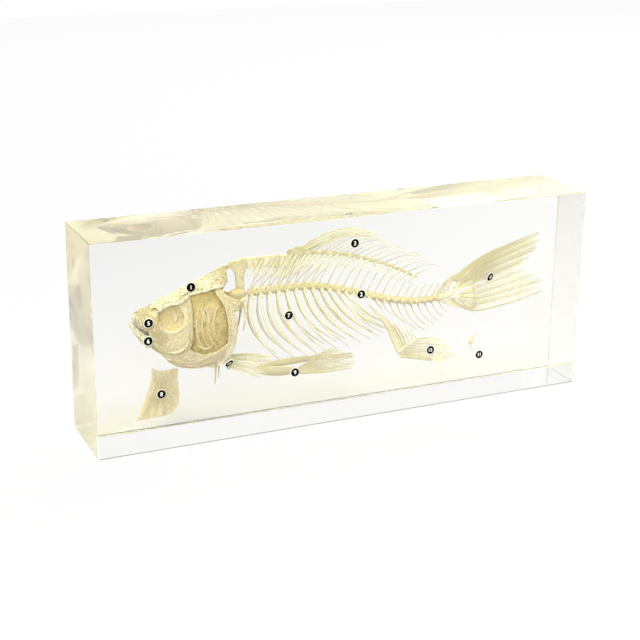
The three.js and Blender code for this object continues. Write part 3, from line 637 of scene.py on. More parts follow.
def lower_jaw():
    """Two flattened branches meet at the chin, with a raised tooth-bearing edge on each."""
    bones = Bones()
    branch = [[-68.1, 0.3, 37.2], [-66, 1.8, 34.7], [-64.2, 2.7, 32.5], [-62.7, 3.4, 30.9]]
    edge = [[-68.2, 0.2, 37.9], [-66.2, 1.7, 35.8], [-64.4, 2.6, 34.2], [-63.1, 3, 33.4]]
    for side in (LEFT, RIGHT):
        bones.rods(branch, 30, 0.6 + 1.05 * shares(30) ** 0.8, flat=0.38, sides=12, tone=0.35, side=side)
        bones.rods(edge, 24, np.linspace(0.38, 0.23, 24), tone=0.0, side=side)
    chin = [[-68.3, 38], [-67.4, 38.2], [-65.1, 35.6], [-63, 34.6], [-63.4, 32.2], [-65.8, 33.6], [-67.2, 35]]
    bones.plate(chin, 0.45, relief=0.1, tone=0.2, count=80)
    bones.piece("lower_jaw_bones", SKULL_BONE, "lower_jaw")


def gill_chamber():
    """A bowed golden wall closes the gill chamber on the inside. On it lie the gill arches, low
    rods bowed to the front, each with a comb of fine rods behind it."""
    bones = Bones()
    wall = [
        [-51, 44.8], [-44, 45.8], [-41.6, 43.8], [-39.7, 40], [-38.7, 35.8], [-38.6, 31], [-39.6, 27.6],
        [-42.6, 25.2], [-47, 24.8], [-51, 27.2], [-51.4, 33],
    ]
    arch_count, comb_count = 4, 22
    s = shares(arch_count)[:, None]
    x = lerp(-48.6, -43.2, s) + np.array([1.6, -0.1, -0.6, 0.4, 2])
    z = lerp(np.array([42.6, 39.5, 34, 30, 27.6]), np.array([41.6, 39, 34, 30.4, 28.8]), s)
    t = np.linspace(0.12, 0.88, comb_count)
    for side in (LEFT, RIGHT):
        skin = head_flank(side, 1.7)
        bones.plate(wall, 0.5, skin, relief=0.42, grain=3.0, tone=0.5, rim=0.5, count=160, rings=18)
        arches = through(on_flank(side, 1.2, x, z), 36)
        bones.tubes(arches, 0.4 * wave(36, 0.35, 2.8), flat=1.2)
        roots = arches[:, (t * 35).astype(int)].reshape(-1, 3)
        tips = roots + np.tile(bundle((1.2, 0.1 * side, t - 1))[:, 0], (arch_count, 1))
        middles = (roots + tips) / 2 + [0, 0, 0.12]
        bones.tubes(np.stack([roots, middles, tips], 1), [0.15, 0.12, 0.06], sides=5, tone=0.45)
    bones.piece("gill_arch_bones", GILL_BONE, "gill_arches", slot="inner_bone")


def pharynx_bones():
    """The pale slender bones in front of the gill arches, given as x, z and their radius."""
    bones = Bones()
    for side in (LEFT, RIGHT):
        for x, z, radius in (
            ([-47.9, -47, -46.7], [41, 38.8, 36.2], 0.4),
            ([-46.2, -45.5, -45.5], [40.2, 38, 35.4], 0.34),
            ([-51, -49.8, -48.8], [36, 35.7, 35.9], 0.25),
            ([-49, -46.8, -44.2], [29.6, 28.2, 28.6], 0.3),
        ):
            line = through(on_flank(side, 0.95, x, z), 16)
            bones.tubes(line, radius * wave(16, 0.3, 2.9), tone=0.1)
    bones.piece("pharynx_bones", PLATE_BONE)


def gill_cover():
    """The right gill cover: a plate on the head's flank with growth ridges fanned from its front
    upper corner."""
    corners = [
        [-50.4, 45], [-44.3, 45.2], [-42.1, 42.3], [-40.6, 39.4], [-39.6, 35.6], [-39.4, 31.6], [-40.1, 28.6],
        [-42.1, 26], [-50.1, 28.6],
    ]
    skin = head_flank(RIGHT, 0.6)

    def ridged(x, z):
        turn = np.arctan2(z - 44.5, x + 50.5)
        return skin(x, z) + 0.07 * np.cos(34 * turn)

    plate = Bones().plate(corners, 0.42, ridged, tone=0.25, rim=-0.3, count=180, rings=20)
    plate.piece("gill_cover_bone", PLATE_BONE, "gill_cover_right")


def shoulder(side, name):
    """The crescent behind the gills is a flattened rod that follows the head's flank down to the
    throat, between two thin pale rods, with a plate towards the backbone and the splint that hangs
    below."""
    bones = Bones()
    x = np.array([-42.4, -40.6, -39, -38, -37.8, -38.3, -39.6, -41.8, -44.6])
    z = np.array([46, 43.4, 40.2, 36, 31.6, 28, 25, 22.6, 21.8])
    t = shares(70)
    girth = 0.9 + 0.65 * np.sin(np.pi * t) + 0.08 * np.sin(57 * t)
    # Painted light: the tone falls towards the crescent's lower end, which faces down into shade.
    bones.rods(on_flank(side, 0.85, x, z), 70, girth, flat=0.36, sides=14, tone=0.4 - 2.2 * t**2)
    for back, drop, inset, width in (
        ([0.6, 0.9, 1.1, 1.3, 1.3, 1.2, 0.9, 0.4, 0.2], 0.4, 0.35, 0.26),
        ([-0.6, -0.8, -0.9, -1.2, -1.4, -1.2, -0.9, -0.4, -0.1], -0.3, 0.8, 0.22),
    ):
        rod = through(on_flank(side, inset, x - back, z - drop), 60)
        bones.tubes(rod, width + 0.06 * wave(60, 0, 31), tone=-0.2)
    plate = [
        [-41.4, 45.4], [-39.2, 43.8], [-36.6, 42.4], [-34.6, 41.6], [-34.9, 39], [-36.5, 38.6], [-38.2, 38.2],
        [-39.6, 41.2],
    ]
    bones.plate(plate, 0.5, head_flank(side, 0.9), relief=0.4, grain=1.3, rim=0.2, count=90)
    start, reach = (-43.1, -3.6) if side == LEFT else (-40.4, 3.4)
    splint = through([[start + 0.4, reach, 24.4], [start + 0.2, reach, 20], [start - 0.1, reach, 15.8]], 18)
    bones.tubes(splint, np.linspace(0.4, 0.12, 18), tone=0.5, edge=0.3)
    bones.piece(f"shoulder_bones_{name}", PLATE_BONE, f"shoulder_{name}")


def throat():
    """The floor of the head is a trough of the head from the left upper edge under the throat to
    the right one, about 1.1 mm thick, with painted light on its underside, which faces down into
    shade. Rays of bone lie side by side along it."""
    bones = Bones()
    x = np.linspace(-61, -39.2, 90)[:, None]
    edge_x = [-61, -59, -54.5, -51.5, -50.4, -46.9, -43, -39.2]
    high = np.interp(x, edge_x, [29.4, 27.9, 27.5, 29, 27.4, 25.6, 26.2, 28.4])
    across = 57

    def rough(sweep):
        return 0.08 * ripple(x, sweep * 7, 2.0) + 0.07 * np.cos(26 * sweep)

    # Painted light: the tone falls below 0 under the throat to lighten the underside that faces down into
    # shade.
    shade = 0.35 - 1.8 * np.sin(np.pi * shares(across)) ** 2
    bones.loft(head_shell(x, high, -1, across, rough, 0.3, 1.4), np.tile(shade, 2))
    s = shares(6)
    for side in (LEFT, RIGHT):
        for x0, z0, x1, z1, sag in (
            (-58, 25.6, -45, 25.4, 1.3), (-57, 24.4, -43.6, 23.8, 1.1), (-55.4, 23.2, -43.4, 22.4, 0.9)
        ):
            ray = on_flank(side, 0.2, lerp(x0, x1, s), lerp(z0, z1, s) - sag * np.sin(np.pi * s))
            bones.rods(ray, 24, 0.26, tone=0.12)
    bright = through([[-58.2, -6.1, 28.6], [-55.6, -6.4, 28.2], [-53.4, -6.7, 29], [-52.2, -6.9, 30.6]], 20)
    bones.tubes(bright, 0.3 * wave(20, 0.4, 2.8), tone=-0.2)
    bones.piece("throat_bones", PLATE_BONE, "throat")


# ------------------------------------------------------------------ backbone


def vertebrae(bones, i):
    """Each vertebra is an hourglass: its half-width falls from the flanged ends to a waist as a
    raised cosine, with a thin pale rim at both ends."""
    t = shares(13)
    front, rear = vertebra_x(i) + 0.06, vertebra_x(i + 1) - 0.06
    x = lerp(front[:, None], rear[:, None], t)
    waist = 0.84 + 0.3 * np.abs(np.cos(np.pi * t)) ** 2.5
    waist[[1, -2]] += 0.1
    pale = lerp(0.35, 0.7, smoothstep(i, 8, 16))[:, None]
    tone = 1.0 - pale * np.abs(np.cos(np.pi * t)) ** 5
    bones.tubes(np.stack([x, 0 * x, column_z(x)], -1), waist, sides=20, tone=tone, edge=0.15)


def side_processes(bones, i, size):
    """Short wings that stand out from a vertebra's flanks and lean back, where the ribs sit."""
    x = vertebra_x(i) + 1.0
    z = column_z(x)
    girth = size * np.array([0.5, 0.55, 0.5, 0.42, 0.34, 0.26, 0.2])
    for side in (LEFT, RIGHT):
        wings = bundle(
            (x, 0.6 * side, z - 0.4), (x + 0.3, 1.3 * side, z - 1.0), (x + 0.9, 1.7 * side, z - 1.7)
        )
        bones.rods(wings, 7, girth)


def neural_spines(bones, i):
    """Spines that leave the vertebra upright and lean back more and more; behind the head their feet
    widen into broad arches, and each has a second, slacker spine beside it. A knob joins each
    vertebra to the next."""
    x = vertebra_x(i) + 0.7
    z = column_z(x) + 0.7
    height = np.maximum(0.6 * (dorsal_z(x + 3) - column_z(x)), 4.4)
    t = shares(18)
    foot = (0.22 + 0.4 * smoothstep(-x, 12, 20))[:, None]
    radius = 0.13 + foot * np.exp(-((t / 0.2) ** 2)) + 0.08 * (1 - t)
    for y, lean, tall, back, last in ((-0.25, 0.55, 1.0, 0.0, np.inf), (0.5, 0.78, 0.82, 0.9, -10)):
        keep = x < last
        if not keep.any():
            continue
        start, swing, rise = x + back, lean * height, tall * height
        corners = bundle(
            (start - 0.25, y, z),
            (start + 0.1 * swing, y, z + 0.25 * rise),
            (start + 0.48 * swing, y, z + 0.62 * rise),
            (start + swing, 0, z + rise),
        )
        paths = through(corners, 18)[keep]
        bones.tubes(paths, radius[keep], flat=0.7, tone=0.55 + 0.15 * t, edge=0.5)
    knobs = bundle((x + 0.2, 0, z - 0.1), (x + 2.5, 0, column_z(x + 2.5) + 1.05))
    bones.rods(knobs, 8, np.linspace(0.5, 0.26, 8), tone=0.8, edge=0.1)


def haemal_spines(bones, i):
    """Spines under the tail's vertebrae, which hang down and curve back."""
    x = vertebra_x(i) + 0.7
    z = column_z(x) - 0.7
    drop = np.minimum.reduce([3.4 + 0.9 * (x - 11), 0 * x + 10, 10 - 0.42 * (x - 21)])
    swing = 0.75 * drop
    corners = bundle(
        (x - 0.2, 0, z),
        (x + 0.16 * swing, 0, z - 0.35 * drop),
        (x + 0.5 * swing, 0, z - 0.7 * drop),
        (x + swing, 0, z - drop),
    )
    t = shares(16)
    radius = 0.15 + 0.3 * np.exp(-((t / 0.14) ** 2))
    bones.rods(corners, 16, radius, flat=0.7, tone=0.5 + 0.15 * t, edge=0.5)


def spine_trunk():
    """The trunk's vertebrae, with their wings and spines."""
    bones = Bones()
    i = np.arange(TRUNK_VERTEBRAE)
    vertebrae(bones, i)
    side_processes(bones, i, 0.9)
    neural_spines(bones, i)
    bones.piece("trunk_vertebrae", BONE, "spine_trunk")


def spine_tail():
    """The tail's vertebrae with spines above and below, which also stand on the tapering end of the
    column, and the strands over and under that end, which turns up."""
    bones = Bones()
    i = np.arange(TRUNK_VERTEBRAE, ALL_VERTEBRAE + 1)
    vertebrae(bones, i[:-1])
    side_processes(bones, i[:4], 0.6)
    neural_spines(bones, i)
    haemal_spines(bones, i[2:])
    x = np.linspace(33.6, 40.5, 24)
    z = column_z(x) + 0.05 * np.maximum(0, x - 36) ** 2
    bones.tubes(np.stack([x, 0 * x, z], -1), np.linspace(1.05, 0.45, 24), sides=14)
    upper = strands(4, 16, (32.4, 34, 4.2, 0.9), (34.6, 37.2, 3.2, 0.4), (38.6, 40.2, 3.2, 0.9))
    bones.tubes(upper, np.linspace(0.34, 0.18, 16), flat=0.6, tone=0.5, edge=0.4)
    lower = strands(4, 16, (33.6, 32.8, 3.6, 0.6), (36, 31, 2.8, 0.2), (40, 29.3, 3.4, -0.8))
    bones.tubes(lower, np.linspace(0.32, 0.18, 16), flat=0.6, edge=0.4)
    bones.piece("tail_vertebrae", BONE, "spine_tail")


def ribs(side, name):
    """Each rib bows out, down and back round the belly: flattened at its head and thin at its tip.
    The front ones hang steeply and turn back at their ends; the rear ones slant all the way."""
    s = shares(12)
    root_x = vertebra_x(s * 11) + 0.6
    root_z = column_z(root_x) - 1
    sway = side * (0.8 * np.sin(5.3 * s * 11) + 0.5)
    tip_x = root_x + 9.5 + 7.5 * np.sin(0.5 * np.pi * s) + sway
    tip_z = 20.6 + 4.4 * s**1.5
    wide = side * (6.4 - 2.2 * s)
    bow = 2.4 - 1.9 * s
    drop = root_z - tip_z
    corners = bundle(
        (root_x, 0.9 * side, root_z),
        (lerp(root_x, tip_x, 0.3) - bow, 0.72 * wide, root_z - 0.36 * drop),
        (lerp(root_x, tip_x, 0.62) - bow, wide, root_z - 0.7 * drop),
        (tip_x, 0.86 * wide, tip_z),
    )
    t = shares(34)
    radius = 0.14 + 0.26 * np.sin(np.pi * np.clip(t * 1.1, 0, 1)) + 0.12 * np.exp(-((t / 0.06) ** 2))
    cage = Bones().rods(corners, 34, radius, flat=0.5, sides=10, tone=0.2 + 0.3 * t**2, edge=1.0)
    cage.piece(f"rib_bones_{name}", FIN_BONE, f"ribs_{name}")


def nape():
    """The fused vertebrae behind the skull are a rough egg. A waisted plate stands on them under
    the row of flat bones, and a tapering process and a short wing are on each side."""
    bones = Bones()

    def lump(u, turn):
        return 1 + 0.13 * ripple(3 * u, 1.2 * turn, 0.8)

    bones.loft(egg((-35, 0, 42.4), (2.9, 2.3, 2), 30, 40, lump=lump), 0.9)
    neck = [
        [-35.2, 43], [-35.5, 48], [-36, 50], [-38.2, 51.5], [-38.2, 52.7], [-31.7, 53.8], [-31.5, 51.4],
        [-32.8, 48], [-32.6, 43],
    ]
    bones.plate(neck, 0.5, relief=0.3, grain=1.2, tone=0.6, rim=0.4, count=120)
    bones.rods([[-32.9, 43.6], [-33, 48], [-31.9, 51.6], [-31.7, 53.6]], 24, 0.34, tone=0.0)
    bones.rods([[-38.1, 52.2], [-35, 53.1], [-31.8, 53.5]], 20, 0.36, tone=0.2)
    process = [[-33.6, 1.4, 41.8], [-33, 2.6, 38.4], [-33.3, 3.2, 35], [-33.9, 3.6, 31.4]]
    wing = [[-36.6, 1.8, 41.2], [-34.8, 2.2, 40.6], [-33, 2.1, 41.4]]
    t = shares(26)
    for side in (LEFT, RIGHT):
        bones.rods(process, 26, 0.72 - 0.52 * t, flat=0.7, sides=10, tone=0.35 + 0.3 * t, side=side)
        bones.rods(wing, 14, 0.5, sides=10, side=side)
    bones.piece("nape_vertebrae", BONE, "nape_bones")


def predorsal():
    """The flat bones ahead of the dorsal fin: eight thin plates that overlap, each a rounded panel
    that leans back, tied by a slender band along the top and crossed by slanting strands."""
    bones = Bones()
    for k in range(8):
        x = -31.9 + 1.72 * k
        low = 50.3 - 0.12 * k + 0.35 * np.sin(2.4 * k)
        panel = [[x, low], [x + 0.7, 53.4], [x + 2.4, 53.5 - 0.03 * k], [x + 2.1, 51.9], [x + 1.3, low - 0.2]]
        y, tone = 0.18 * (-1) ** k, 0.3 + 0.15 * (k % 3)
        bones.plate(panel, 0.22, y, relief=0.14, grain=0.9, tone=tone, rim=0.4, count=60, rings=8)
    top = through([[-31.8, 53.2], [-26, 53.3], [-21, 53], [-17, 53]], 40)
    bones.tubes(top, 0.42 + 0.12 * wave(40, 0, 40), flat=0.7, sides=10, tone=0.2)
    slanting = strands(11, 10, (-31.8, 47.6, 11, -1.8), (-28.6, 53.4, 11.4, -0.5))
    bones.tubes(slanting, 0.32 * wave(10, 0.4, 2.4), tone=0.1, edge=0.7)
    bones.piece("predorsal_plates", BONE, "predorsal_bones")


# ------------------------------------------------------------------ fins


def fan(roots, tips, count, lift, stations=22):
    """Paths of fin rays: roots and tips lie evenly on two smooth lines, and each ray's point at 45%
    is raised by lift, which may change from the first ray to the last."""
    root, tip = through(roots, count)[0], through(tips, count)[0]
    middle = lerp(root, tip, 0.45)
    middle[:, 2] += np.linspace(*lift, count)
    return through(np.stack([root, middle, tip], 1), stations)


def branched(bones, paths, radius, split, spread, flat, tone, fade, ragged, parts=4):
    """Rays that divide in parts strands: past the share split of its length, each strand leaves its ray's
    path, by up to half of spread times the gap to the next ray for the outermost. Every strand
    stops short of its tip by its own share, up to ragged, and its tone falls by fade on the way."""
    stations = paths.shape[1]
    t = shares(stations)
    gap = np.gradient(paths, axis=0)
    away = spread * np.clip((t - split) / (1 - split), 0, 1) ** 1.2
    places = (np.arange(parts) + 0.5) / parts - 0.5
    branches = np.concatenate([paths + gap * (k * away)[None, :, None] for k in places])
    order = np.arange(len(branches))[:, None]
    reach = 1 - ragged * (0.5 + 0.5 * np.sin(12.9898 * order + 3 * order**2))
    u = np.clip(reach * t * (stations - 1), 0, stations - 1.001)
    i = u.astype(int)
    part = (u - i)[..., None]
    cut = branches[order, i] * (1 - part) + branches[order, i + 1] * part
    shades = tone - fade * t + 0.2 * np.sin(2.1 * order)
    bones.tubes(cut, radius * (1 - 0.75 * t**1.2), flat=flat, sides=6, tone=shades, edge=0.5)


def dorsal_fin():
    """A mottled bar along the fin's foot; bladed supports under it that reach down between the
    neural spines, the longest in front; strands before them; curved rays; a stub and four stout
    strands at the leading edge."""
    bones = Bones()

    def foot(x, rise):
        return np.stack([x, dorsal_z(np.array(x)) + rise], -1)

    t = shares(80)
    base = through(foot([-17.4, -8, 2, 12, 19, 25.4], -0.6), 80)
    mottled = 0.75 + 0.2 * np.sin(90 * t)
    bones.tubes(base, 0.8 - 0.4 * t + 0.1 * np.sin(131 * t), flat=0.45, sides=12, tone=mottled, edge=0.2)
    ends = [[-19.6, 46.4], [-9.6, 47.2], [4.4, 44.8], [22.4, 39.4]]
    supports = fan(foot([-15.4, -5, 8, 24.6], -0.5), ends, 20, (0.3, 0.4))
    t = shares(22)
    bones.tubes(supports, 0.5 * (1 - t) ** 0.7 + 0.12, flat=0.45, sides=10, tone=0.1 * t, edge=1.0)
    front = strands(6, 20, (-17.6, 53, 6, -0.3), (-19, 50, 5.4, 0), (-21.6, 45.6, 5.8, 0.1), sway=(0.4, 9))
    bones.tubes(front, np.linspace(0.36, 0.12, 20), flat=0.6, tone=0.5, edge=0.6)
    ends = [[8, 56.4], [14.6, 54.4], [24.6, 49.4], [35.6, 43.2]]
    rays = fan(foot([-11.2, -2, 10, 25], 0.1), ends, 18, (2.8, 0.7), 30)
    branched(bones, rays, 0.17, 0.5, 0.5, 0.8, 0.75, 0.6, 0.15, 2)
    stub = [
        [-19, 53], [-18.9, 54.1], [-18.2, 54.9], [-17, 54.7], [-15.8, 55.4], [-14.4, 55.2], [-13, 54],
        [-14.6, 53],
    ]
    bones.plate(stub, 0.35, relief=0.24, grain=0.7, tone=0.7, rim=0.3, count=70, soften=1)
    lead = strands(
        4, 40, (-15.4, 54.2, 3.6, -0.2), (-9.4, 57.2, 3.6, -1.7), (-2, 59.2, 4, -1.9), (4.6, 59, 7.4, -2.5),
        sway=(0.3, 8),
    )
    t = shares(40)
    bones.tubes(lead, 0.36 - 0.2 * t, flat=0.6, tone=0.5 - 0.5 * t, edge=0.55)
    bones.piece("dorsal_fin_rays", FIN_BONE, "dorsal_fin")


def anal_fin():
    """Supports that come down from the backbone to the fin's foot, a stout leading strand below,
    and broad rays that fan back from the foot and lie close together."""
    bones = Bones()
    supports = fan([[19.8, 16.2], [22, 18], [26, 20.4]], [[8.8, 34], [15.2, 28.4], [24, 23]], 9, (2.2, 0))
    width = np.linspace(0.6, 0.26, 9)[:, None] * np.linspace(1, 0.4, 22)
    bones.tubes(supports, width, flat=0.6, tone=0.4, edge=0.8)
    foot = through([[19.4, 16.4], [22.4, 18.2], [26.4, 20.4]], 24)
    bones.tubes(foot, np.linspace(0.75, 0.35, 24), flat=0.5, sides=10, tone=0.5)
    roots, tips = [[20, 15.7], [22.4, 17.6], [26.2, 20.3]], [[38.4, 10.4], [42, 12.9], [36, 18.2]]
    branched(bones, fan(roots, tips, 10, (-0.2, 0.6)), 0.32, 0.15, 1.0, 0.5, 0.65, 0.4, 0.25)
    edge = through([[20, 15.3], [26, 13.8], [32, 12], [37.8, 9.9]], 30)
    t = shares(30)
    tone = 0.7 - 0.5 * smoothstep(t, 0.5, 0.9)
    bones.tubes(edge, 0.62 - 0.35 * t, flat=0.55, sides=10, tone=tone, edge=0.2)
    bones.piece("anal_fin_rays", FIN_BONE, "anal_fin")


def fan_bones(bones, root, *plates):
    """Fan-shaped tail plates: each widens evenly from root to the line between its two tips, and a
    ridge runs along its middle."""
    root = np.array(root)
    for low, high, tone in plates:
        low, high = np.array(low), np.array(high)
        corners = [root, lerp(root, low, 0.5), low, high, lerp(root, high, 0.5)]
        bones.plate(corners, 0.3, relief=0.04, tone=tone, rim=0.6, count=60, rings=8)
        bones.rods([root, lerp(low, high, 0.5)], 12, np.linspace(0.36, 0.24, 12), tone=tone - 0.3)


def tail_upper():
    """Three fan-shaped plates over a thin sheet of bone, the strands of the upper edge and the rays
    of the upper lobe, which pale towards their tips."""
    bones = Bones()
    fan_bones(
        bones, [39, 36], ([47, 35.8], [46.7, 38.6], 0.6), ([46.6, 38.8], [46.4, 41.2], 0.85),
        ([46.2, 41.4], [44.8, 42.9], 0.7),
    )
    web = [[38.2, 35.1], [40.6, 38.6], [44.5, 42.5], [46.2, 40.4], [46.8, 36.2]]
    bones.plate(web, 0.18, relief=0.04, tone=0.85, rim=0.3, count=60, rings=8)
    bones.rods([[37.6, 35], [42, 35.6], [47, 35.9]], 20, 0.3, flat=0.8, tone=-0.2)
    upper = strands(
        6, 30, (38.6, 38.4, 2, -0.8), (42, 41.4, 2, -0.9), (48, 44.8, 1.6, -0.7), (54, 47.2, 12, 3.2)
    )
    bones.tubes(upper, np.linspace(0.42, 0.18, 30), flat=0.5, tone=0.85, edge=0.5)
    roots, tips = [[44.8, 42.4], [45.4, 40], [45.4, 36.6]], [[71.4, 51.6], [70, 47], [66.5, 41.8]]
    branched(bones, fan(roots, tips, 12, (0.6, -0.3), 30), 0.34, 0.1, 1.0, 0.45, 1.0, 0.6, 0.2)
    bones.piece("tail_rays_upper", FIN_BONE, "tail_fin_upper")


def tail_lower():
    """Fan-shaped plates, a stout lower edge and the pale rays of the lower lobe."""
    bones = Bones()
    fan_bones(
        bones, [38.6, 33.4], ([46.9, 33.6], [46.8, 35.5], 0.45), ([47.4, 31.2], [47, 33.3], 0.4),
        ([48, 28.8], [47.5, 31], 0.5), ([45.6, 27.5], [47.9, 28.3], 0.6),
    )
    edge = through([[38.4, 32.2], [42, 29.4], [48, 27.2], [62, 28.6], [72.6, 31]], 50)
    t = shares(50)
    bones.tubes(edge, 0.62 - 0.42 * t, flat=0.5, tone=0.85 - 0.3 * t, edge=0.3)
    roots, tips = [[45.4, 35], [46, 31.6], [46.4, 28.4]], [[65.5, 39.8], [71.6, 35.6], [73.2, 31.8]]
    branched(bones, fan(roots, tips, 12, (0.3, -0.3), 30), 0.27, 0.1, 1.0, 0.45, 0.5, 0.25, 0.24)
    bones.piece("tail_rays_lower", FIN_BONE, "tail_fin_lower")


def paired_fin(kind, name, root, girth, roots, tips, count, lift, tone, radius):
    """A root bone that swells and tapers, and a fan of branching rays."""
    bones = Bones()
    bones.rods(root, 30, girth, flat=0.5, sides=12, tone=tone + 0.1, edge=0.3)
    branched(bones, fan(roots, tips, count, lift), radius, 0.15, 1.0, 0.5, tone, 0.35, 0.3)
    bones.piece(f"{kind}_rays_{name}", FIN_BONE, f"{kind}_fin_{name}")


def paired_fins():
    """The pectoral fins stand on short stubs, and the pelvic fins on long bones whose girth is a
    parabola along them."""
    t = shares(30)
    stub = 0.75 + 0.15 * np.sin(np.pi * t)
    girdle = 0.35 + 2.9 * t * (1.08 - t)
    paired_fin(
        "pectoral", "left", [[-38.7, -4, 23.6], [-38.7, -4.3, 22], [-38.9, -4.4, 20.4]], stub,
        [[-38, -4.4, 22.2], [-38.4, -4.4, 20.7]],
        [[-26.6, -7, 17.6], [-26.4, -7.4, 16.4], [-29.6, -7.8, 15.8]], 6, (0.3, 0.1), 0.75, 0.2,
    )
    paired_fin(
        "pectoral", "right", [[-38.7, 4, 23.6], [-38.7, 4.3, 22], [-38.9, 4.4, 20.4]], stub,
        [[-38.3, 4.4, 22.4], [-38.4, 4.6, 21.2], [-38.6, 4.4, 20.2]],
        [[-20.4, 7, 19], [-19.4, 7.2, 17.8], [-25.4, 7.2, 16.8]], 7, (1.0, 0.0), 0.3, 0.34,
    )
    paired_fin(
        "pelvic", "left", [[-30, -1.2, 17.8], [-25.8, -1.6, 17.2], [-21.4, -2, 16.6], [-15.6, -2.8, 16.2]],
        1.35 * girdle, [[-15.5, -2.6, 17], [-15.4, -3.2, 15.2]],
        [[-5, -3.5, 20.8], [2.8, -4, 19.2], [4.8, -4.2, 16.8], [2.6, -5, 15]], 10, (0.3, -0.5), 0.9, 0.32,
    )
    paired_fin(
        "pelvic", "right", [[-29.4, 1.2, 17.8], [-20, 2, 18.3], [-8, 3, 18.1]], girdle,
        [[-10, 2.6, 18.4], [-9.4, 3.2, 17.4]],
        [[-1, 3.8, 20], [5.4, 4.4, 17.8], [6, 4.8, 16.2]], 7, (0.3, -0.1), 0.65, 0.3,
    )


# ------------------------------------------------------------------ loose pieces and discs


def loose_pieces():
    """The loose gill cover is a plate with faint ridges fanned from its upper corner; the small
    bone is a hooked rod with a swollen middle."""
    corners = [
        [-62.1, 23.1], [-60.2, 21.8], [-57.2, 21.6], [-53.9, 21.9], [-54.2, 18], [-53.6, 13.6], [-54.1, 10.1],
        [-55.8, 7.7], [-58.6, 7.2], [-63.8, 7], [-67.3, 6.9], [-65.5, 11.3], [-63.4, 16.2], [-62.3, 19.6],
    ]

    def ridged(x, z):
        return 0.09 * np.cos(46 * np.arctan2(z - 27, x + 57)) + 0.05 * ripple(x, z, 0.9)

    cover = Bones().plate(corners, 0.33, ridged, tone=0.55, rim=-0.45, count=220, rings=24, soften=2)
    cover.piece("loose_gill_cover", PLATE_BONE, "gill_cover_loose")
    hook = through([[49.1, 18.9], [47.2, 18.2], [46.2, 17], [45.9, 15.4], [47.3, 13.1]], 30)
    girth = 0.16 + 0.8 * np.exp(-(((shares(30) - 0.5) / 0.2) ** 2))
    hooked = Bones().tubes(hook, girth, flat=0.5, sides=10, tone=0.6)
    hooked.piece("hooked_bone", FIN_BONE, "small_bone")


FRONT = (0.0, -1.0, 0.0)
DISCS = [
    (1, (-50.3, -4.2, 47.4), FRONT),
    (2, (5.6, -1.8, 38.0), FRONT),
    (3, (3.4, -0.9, 54.5), FRONT),
    (4, (51.5, -1.8, 38.3), (0.43, -0.85, -0.3)),
    (5, (-63.6, -5.0, 38.2), FRONT),
    (6, (-63.8, -4.6, 32.6), FRONT),
    (7, (-19.9, -6.4, 35.3), FRONT),
    (8, (-59.5, -0.9, 14.5), FRONT),
    (9, (-17.2, -4.2, 16.0), FRONT),
    (10, (-39.2, -6.3, 22.6), (0.32, -0.71, -0.61)),
    (11, (49.2, -0.6, 11.8), FRONT),
    (12, (30.9, -1.0, 16.0), FRONT),
]


def plain_material(name, base, rough):
    """Dull plastic or paint of one colour, a little uneven in its roughness."""
    paint = Paint(bpy.data.materials.new(name))
    clouds = paint.noise(0.8, 2.0)
    return paint.finish(Base_Color=base, Roughness=rough + 0.15 * clouds, Specular_IOR_Level=0.05)


DISC_BLACK = plain_material("disc_black", colour(2, 2, 2), 0.6)
DISC_WHITE = plain_material("disc_white", colour(250, 250, 248), 0.5)
DISC_RING = plain_material("disc_ring", colour(250, 248, 238), 0.6)


def disc_frames():
    """Each disc's number, its middle and its right, up and outward directions."""
    middle = np.array([d[1] for d in DISCS])
    out = np.array([d[2] for d in DISCS])
    out /= np.linalg.norm(out, axis=1, keepdims=True)
    right = np.cross(out, [0, 0, -1.0])
    right /= np.linalg.norm(right, axis=1, keepdims=True)
    return [*zip([d[0] for d in DISCS], middle, right, np.cross(out, right), out)]


def discs():
    """A disc's profile, radius against height, turned round its outward axis."""
    turn = np.linspace(0, 2 * np.pi, 48, endpoint=False)[:, None]

    def turned(name, profile, material, *nodes):
        bones = Bones()
        radius, height = np.array(profile).T[..., None, None]
        for _, middle, right, up, out in disc_frames():
            bones.loft(middle + radius * (np.cos(turn) * right + np.sin(turn) * up) + height * out)
        bones.piece(name, material, *nodes, slot="disc")

    body = [(0.4, -0.19), (1.31, -0.19), (1.35, -0.14), (1.35, 0.12), (1.31, 0.17), (0.4, 0.17)]
    ring = [(1.3, -0.14), (1.54, -0.1), (1.54, 0.04), (1.3, 0.08)]
    turned("discs", body, DISC_BLACK, *(f"number_disc_{d[0]}" for d in DISCS))
    turned("disc_edges", ring, DISC_RING)


def numerals():
    """The plain number of each disc, set flat on its face."""
    face = 0.19
    for number, middle, right, up, out in disc_frames():
        text = bpy.data.curves.new(f"number_{number}", "FONT")
        text.body = str(number)
        text.size = (1.75 if number < 10 else 1.5) * MM
        text.extrude = 0.02 * MM
        text.offset = 0.03 * MM
        text.align_x, text.align_y = "CENTER", "CENTER"
        carrier = bpy.data.objects.new("carrier", text)
        bpy.context.scene.collection.objects.link(carrier)
        evaluated = carrier.evaluated_get(bpy.context.evaluated_depsgraph_get())
        mesh = bpy.data.meshes.new_from_object(evaluated)
        bpy.data.objects.remove(carrier)
        flat = np.zeros(len(mesh.vertices) * 3, np.float32)
        mesh.vertices.foreach_get("co", flat)
        flat = flat.reshape(-1, 3)
        flat[:, :2] -= (flat[:, :2].max(0) + flat[:, :2].min(0)) / 2
        spot = flat @ np.stack([right, up, out]) + (middle + face * out) * MM
        mesh.vertices.foreach_set("co", spot.astype(np.float32).ravel())
        mesh.materials.clear()
        mesh.materials.append(DISC_WHITE)
        mesh.update()
        place(bpy.data.objects.new(f"number_{number}", mesh), "disc")


# ------------------------------------------------------------------ resin block


